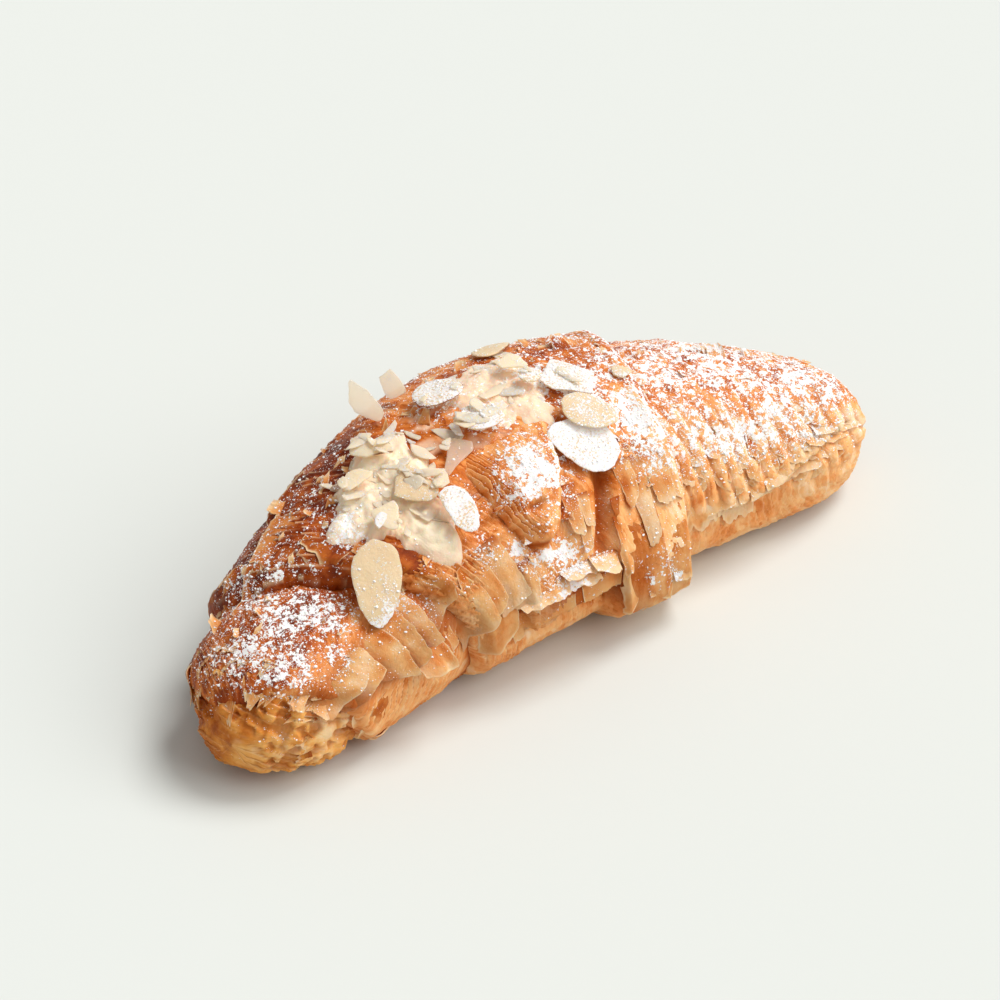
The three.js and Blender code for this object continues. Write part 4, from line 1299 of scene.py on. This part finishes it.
# Sliced almonds
# Thin slices of blanched almonds, pale and waxy, some with a strip of brown skin at the rim. They lie on
# the cream and the crust, stuck by the cream. Each takes its place, size and sag from its solid.
SLICE_RINGS = 20
SLICE_SECTORS = 72
SLICE_THICK = 0.7
SLICE_NARROWING = 0.24


def node_points(name):
    """Corner points of a solid of the frame, in mm."""
    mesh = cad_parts[name].data
    points = np.empty(3 * len(mesh.vertices))
    mesh.vertices.foreach_get("co", points)
    return 1000.0 * points.reshape(-1, 3)


def slice_frame(points):
    """Middle, axes (long, wide, thick) and half sizes of a slice. Its long axis runs to its narrow end."""
    middle = (points.min(axis=0) + points.max(axis=0)) / 2.0
    middle = points.mean(axis=0) * 0.5 + middle * 0.5
    axes = np.linalg.svd(points - middle, full_matrices=False)[2]
    if axes[2, 2] < 0.0:
        axes[2] = -axes[2]
    local = (points - middle) @ axes.T
    half = (local.max(axis=0) - local.min(axis=0)) / 2.0 * 0.96
    wide = np.abs(local[:, 1])
    ahead = local[:, 0] > 0.3 * half[0]
    behind = local[:, 0] < -0.3 * half[0]
    if wide[ahead].max() > wide[behind].max():
        axes[0] = -axes[0]
    axes[1] = np.cross(axes[2], axes[0])
    return middle, axes, half


def quadratic(x, y):
    """The terms 1, x, y, x2, xy and y2 of a quadratic surface."""
    return np.stack([np.ones_like(x), x, y, x * x, x * y, y * y], axis=-1)


def slice_piece(name, number, dust, skin, cuts, finish, wide):
    """An oval that narrows to one end, on the quadratic surface that fits its solid, with a rounded rim.
    cuts are straight breaks: for each an angle and a share of the half size. wide widens the slice."""
    solid = "almond_slice_%02d" % number
    points = node_points(solid)
    middle, axes, half = slice_frame(points)
    local = (points - middle) @ axes.T
    x, y = local[:, 0], local[:, 1]
    fit = np.linalg.lstsq(quadratic(x, y), local[:, 2], rcond=None)[0]
    seed = 600 + 10 * number
    share = 1.0 - (1.0 - np.linspace(0.0, 1.0, SLICE_RINGS)[1:, None]) ** 1.6
    angle = np.linspace(0.0, 2.0 * np.pi, SLICE_SECTORS, endpoint=False)[None, :]
    circle = stacked(half[0] * np.cos(angle), half[0] * np.sin(angle), 0.0)
    chip = 0.98 + noises(circle, seed, (0.05, 5.0), (0.035, 1.6))
    for direction, level in cuts:
        facing = np.cos(angle - math.radians(direction))
        rough = 1.0 + 0.04 * noise(circle, 1.2, seed + 6)
        chip = np.minimum(chip, level / np.maximum(facing, 0.05) * rough)
    across = share * chip
    x = half[0] * across * np.cos(angle)
    y = wide * half[1] * across * np.sin(angle) * (1.0 - SLICE_NARROWING * np.cos(angle))
    flat = stacked(x, y, 0.0)
    sag = quadratic(x, y) @ fit + 0.25 * noise(flat, 7.0, seed + 2)
    rounded = SLICE_THICK / 2.0 * np.sqrt(1.0 - 0.85 * share**8)
    ripple = 0.05 * noise(flat, 2.0, seed + 3)
    upper = middle + stacked(x, y, sag + rounded + ripple) @ axes
    lower = middle + stacked(x, y, sag - rounded) @ axes
    points, quads = discs(upper[None], lower[None])
    strip = skin * smooth(share + 0.0 * angle, 0.93, 0.99) * smooth(noise(circle, 8.0, seed + 4), -0.2, 0.2)
    lower_end = 0.35 * smooth(-upper[..., 2] + middle[2], 1.5, 5.0)
    sugar = np.clip(dust + lower_end + 0.3 * noise(flat, 4.0, seed + 5), -0.1, 0.85)
    sugar = disc_values(sugar, 0.0 * sugar, sugar[0].mean())
    values = {"skin": disc_values(strip, strip, 0.0), "dust": sugar}
    put_mesh(name, points, quads, values, finish, solid)


SLICES = 18
LEAST_SUGAR = 0.2
SUGARED_SLICES = {2: 0.74, 3: 0.42, 4: 0.7, 5: 0.62, 6: 0.64, 7: 0.3, 8: 0.7, 12: 0.35, 17: 0.6, 18: 0.35}
SKINNED_SLICES = (5, 6, 10, 15)
PALE_SLICES = {9: chip_finish, 10: chip_finish, 11: chip_finish, 12: thin_finish, 13: thin_finish,
               14: thin_finish, 16: chip_finish}
WIDE_SLICES = {13: 1.45, 14: 1.3}
BROKEN_SLICES = {
    4: [(15.0, 0.75), (105.0, 0.7), (190.0, 0.8), (300.0, 0.8)],
    7: [(200.0, 0.7), (80.0, 0.75)],
    8: [(250.0, 0.7)],
    9: [(20.0, 0.75), (150.0, 0.7), (270.0, 0.7)],
    10: [(100.0, 0.65), (200.0, 0.8), (320.0, 0.75)],
    11: [(180.0, 0.6), (60.0, 0.8)],
    12: [(60.0, 0.6), (180.0, 0.75), (280.0, 0.6)],
    13: [(25.0, 0.8), (75.0, 0.85), (200.0, 0.8), (300.0, 0.85)],
    14: [(20.0, 0.7), (100.0, 0.8), (200.0, 0.75)],
    16: [(30.0, 0.75), (160.0, 0.7), (280.0, 0.75)],
    18: [(10.0, 0.7), (130.0, 0.7), (240.0, 0.8)],
}
for number in range(1, SLICES + 1):
    slice_piece("sliced_almond_%02d" % number, number, SUGARED_SLICES.get(number, LEAST_SUGAR),
                float(number in SKINNED_SLICES), BROKEN_SLICES.get(number, []),
                PALE_SLICES.get(number, almond_finish), WIDE_SLICES.get(number, 1.0))


# Icing sugar
# Sugar shaken over the finished croissant: grains and small clumps that stick where they fall from above.
# Rays from above find the places; patches of noise make it lie in drifts.
SUGAR_KINDS = {
    "sugar_powder": {"faces": 8, "count": 24000, "least": 0.06, "most": 0.12},
    "sugar_grains": {"faces": 20, "count": 9800, "least": 0.09, "most": 0.19},
    "sugar_clumps": {"faces": 80, "count": 2300, "least": 0.16, "most": 0.36},
}
GRAIN_JITTER = 0.4
GRAIN_FLATNESS = 0.6
TRIES_PER_GRAIN = 18
SPARE_GRAINS = 1.6
SWERVE = 0.16
FALL_M = 0.06
# The sugar grains glow a little too: painted light that brightens their shaded sides.
sugar_finish = plain_finish("sugar", Base_Color=SUGAR_COLOUR, Emission_Color=SUGAR_COLOUR,
                            Emission_Strength=SUGAR_PAINTED_GLOW, Roughness=0.9, Specular_IOR_Level=0.2,
                            Subsurface_Weight=0.3, Subsurface_Radius=(1.0, 0.95, 0.9),
                            Subsurface_Scale=0.0004)[0]
sugar_finish.cycles.emission_sampling = "NONE"


def ball(faces):
    """Corners and faces of a unit ball: an octahedron (8), an icosahedron (20), or that one split (80)."""
    golden = (1.0 + math.sqrt(5.0)) / 2.0
    flat = [(-1.0, golden, 0.0), (1.0, golden, 0.0), (-1.0, -golden, 0.0), (1.0, -golden, 0.0)]
    corners = np.array([p[k:] + p[:k] for k in (0, 2, 1) for p in flat]) / math.hypot(1.0, golden)
    if faces == 8:
        corners = np.concatenate([np.eye(3), -np.eye(3)])
    apart = np.linalg.norm(corners[:, None] - corners[None], axis=-1)
    touch = (apart < 1.5 if faces == 8 else apart < 1.1) & (apart > 0.1)
    near = [(a, b, c) for a in range(len(corners)) for b in range(a) for c in range(b)]
    sides = np.array([f for f in near if touch[f[0], f[1]] and touch[f[1], f[2]] and touch[f[0], f[2]]])
    inward = np.linalg.det(corners[sides]) < 0
    sides[inward] = sides[inward][:, ::-1]
    if faces == 80:
        edges = np.sort(np.concatenate([sides[:, [0, 1]], sides[:, [1, 2]], sides[:, [2, 0]]]))
        pairs, where = np.unique(edges, axis=0, return_inverse=True)
        ab, bc, ca = where.reshape(3, -1) + len(corners)
        a, b, c = sides.T
        corners = np.concatenate([corners, unit(corners[pairs].mean(axis=1))])
        split = [(a, ab, ca), (ab, b, bc), (ca, bc, c), (ab, bc, ca)]
        sides = np.concatenate([np.stack(f, axis=1) for f in split])
    return corners, np.concatenate([sides, sides[:, 2:]], axis=1)


def grain_piece(name, kind, places, normals):
    """Jittered balls, flattened a little and half sunk into what they lie on, joined into one mesh."""
    corners, faces = ball(kind["faces"])
    count = len(places)
    sizes = kind["least"] + (kind["most"] - kind["least"]) * draw.uniform(0.0, 1.0, count) ** 2
    shape = corners[None] * (1.0 + GRAIN_JITTER * draw.uniform(-1.0, 1.0, (count, len(corners), 1)))
    turn = draw.uniform(0.0, 2.0 * np.pi, (count, 1))
    x = shape[..., 0] * np.cos(turn) - shape[..., 1] * np.sin(turn)
    y = shape[..., 0] * np.sin(turn) + shape[..., 1] * np.cos(turn)
    shape = np.stack([x, y, shape[..., 2] * GRAIN_FLATNESS], axis=-1) * sizes[:, None, None]
    points = (places + normals * sizes[:, None] * 0.1)[:, None, :] + shape
    quads = (faces[None] + (len(corners) * np.arange(count))[:, None, None]).reshape(-1, 4)
    put_mesh(name, points.reshape(-1, 3), quads, {}, sugar_finish)


def sugar_pieces():
    """Places drawn evenly over the roll and kept by the sugar that lies there; rays find the height."""
    wanted = sum(kind["count"] for kind in SUGAR_KINDS.values())
    tries = TRIES_PER_GRAIN * wanted
    s = draw.uniform(0.01, 0.99, tries)
    phi = draw.uniform(-8.0, 165.0, tries)
    above = roll(s, phi, 2.0 + 0.0 * s)
    kept = draw.uniform(0.0, 1.0, tries) < sugar_lay(above, s, phi) ** 1.5
    above = above[kept][:int(SPARE_GRAINS * wanted)]
    swerve = draw.normal(0.0, SWERVE, (len(above), 2))
    along = np.concatenate([swerve, -np.ones((len(above), 1))], axis=1)
    start = above * 0.001 - along * FALL_M
    places, normals = landed(start, unit(along))
    flat = normals[:, 2] > draw.uniform(0.0, 0.5, len(normals))
    places, normals = places[flat], normals[flat]
    first = 0
    for name, kind in SUGAR_KINDS.items():
        last = first + int(kind["count"] * min(1.0, len(places) / wanted))
        grain_piece(name, kind, places[first:last], normals[first:last])
        first = last


sugar_pieces()


# Studio
# A pale seamless floor, a large soft lamp high on the right with a wider one beside it, and even light from
# all round. The camera looks down on the inner side of the bend.
FLOOR_COLOUR = (0.673, 0.694, 0.660, 1.0)
FLOOR_HALF = 3.0
SKY_COLOUR = (1.0, 0.99, 0.97, 1.0)
SKY_STRENGTH = 0.42
floor_mesh = bpy.data.meshes.new("floor")
floor_corners = [(x * FLOOR_HALF, y * FLOOR_HALF, 0.0) for x, y in ((-1, -1), (1, -1), (1, 1), (-1, 1))]
floor_mesh.from_pydata(floor_corners, [], [(0, 1, 2, 3)])
floor = bpy.data.objects.new("floor", floor_mesh)
bpy.context.scene.collection.objects.link(floor)
floor_mesh.materials.append(plain_finish("floor", Base_Color=FLOOR_COLOUR, Roughness=0.9,
                                         Specular_IOR_Level=0.1)[0])

AIM = Vector((0.00041, 0.0022, 0.020))
AZIMUTH = math.radians(-37.62)
ELEVATION = math.radians(40.0)
DISTANCE = 0.8
LENS = 125.97


def seen_from(azimuth, elevation, distance):
    """The point at that azimuth and elevation from the aim."""
    level = math.cos(elevation)
    back = Vector((math.sin(azimuth) * level, -math.cos(azimuth) * level, math.sin(elevation)))
    return AIM + back * distance


def aimed(thing, place):
    """Puts a lamp or the camera at place, looking at the aim."""
    thing.location = place
    thing.rotation_mode = "QUATERNION"
    thing.rotation_quaternion = (AIM - place).to_track_quat("-Z", "Y")
    bpy.context.scene.collection.objects.link(thing)
    return thing


lens = bpy.data.cameras.new("view")
lens.lens = LENS
lens.sensor_width = 36.0
camera = bpy.data.objects.new("view", lens)
bpy.context.scene.camera = aimed(camera, seen_from(AZIMUTH, ELEVATION, DISTANCE))


def soft_lamp(name, azimuth, elevation, energy, angle):
    """Light from one side over a wide angle, as from a large soft lamp."""
    lamp = bpy.data.lights.new(name, "SUN")
    lamp.energy = energy
    lamp.angle = math.radians(angle)
    aimed(bpy.data.objects.new(name, lamp), seen_from(math.radians(azimuth), math.radians(elevation), 1.0))


soft_lamp("key", azimuth=85.0, elevation=60.0, energy=2.0, angle=26.0)
soft_lamp("fill", azimuth=40.0, elevation=42.0, energy=1.5, angle=50.0)
world = bpy.data.worlds.new("even_light")
world.use_nodes = True
sky = world.node_tree.nodes["Background"]
sky.inputs["Color"].default_value = SKY_COLOUR
sky.inputs["Strength"].default_value = SKY_STRENGTH
bpy.context.scene.world = world
bpy.context.scene.view_settings.view_transform = "Standard"
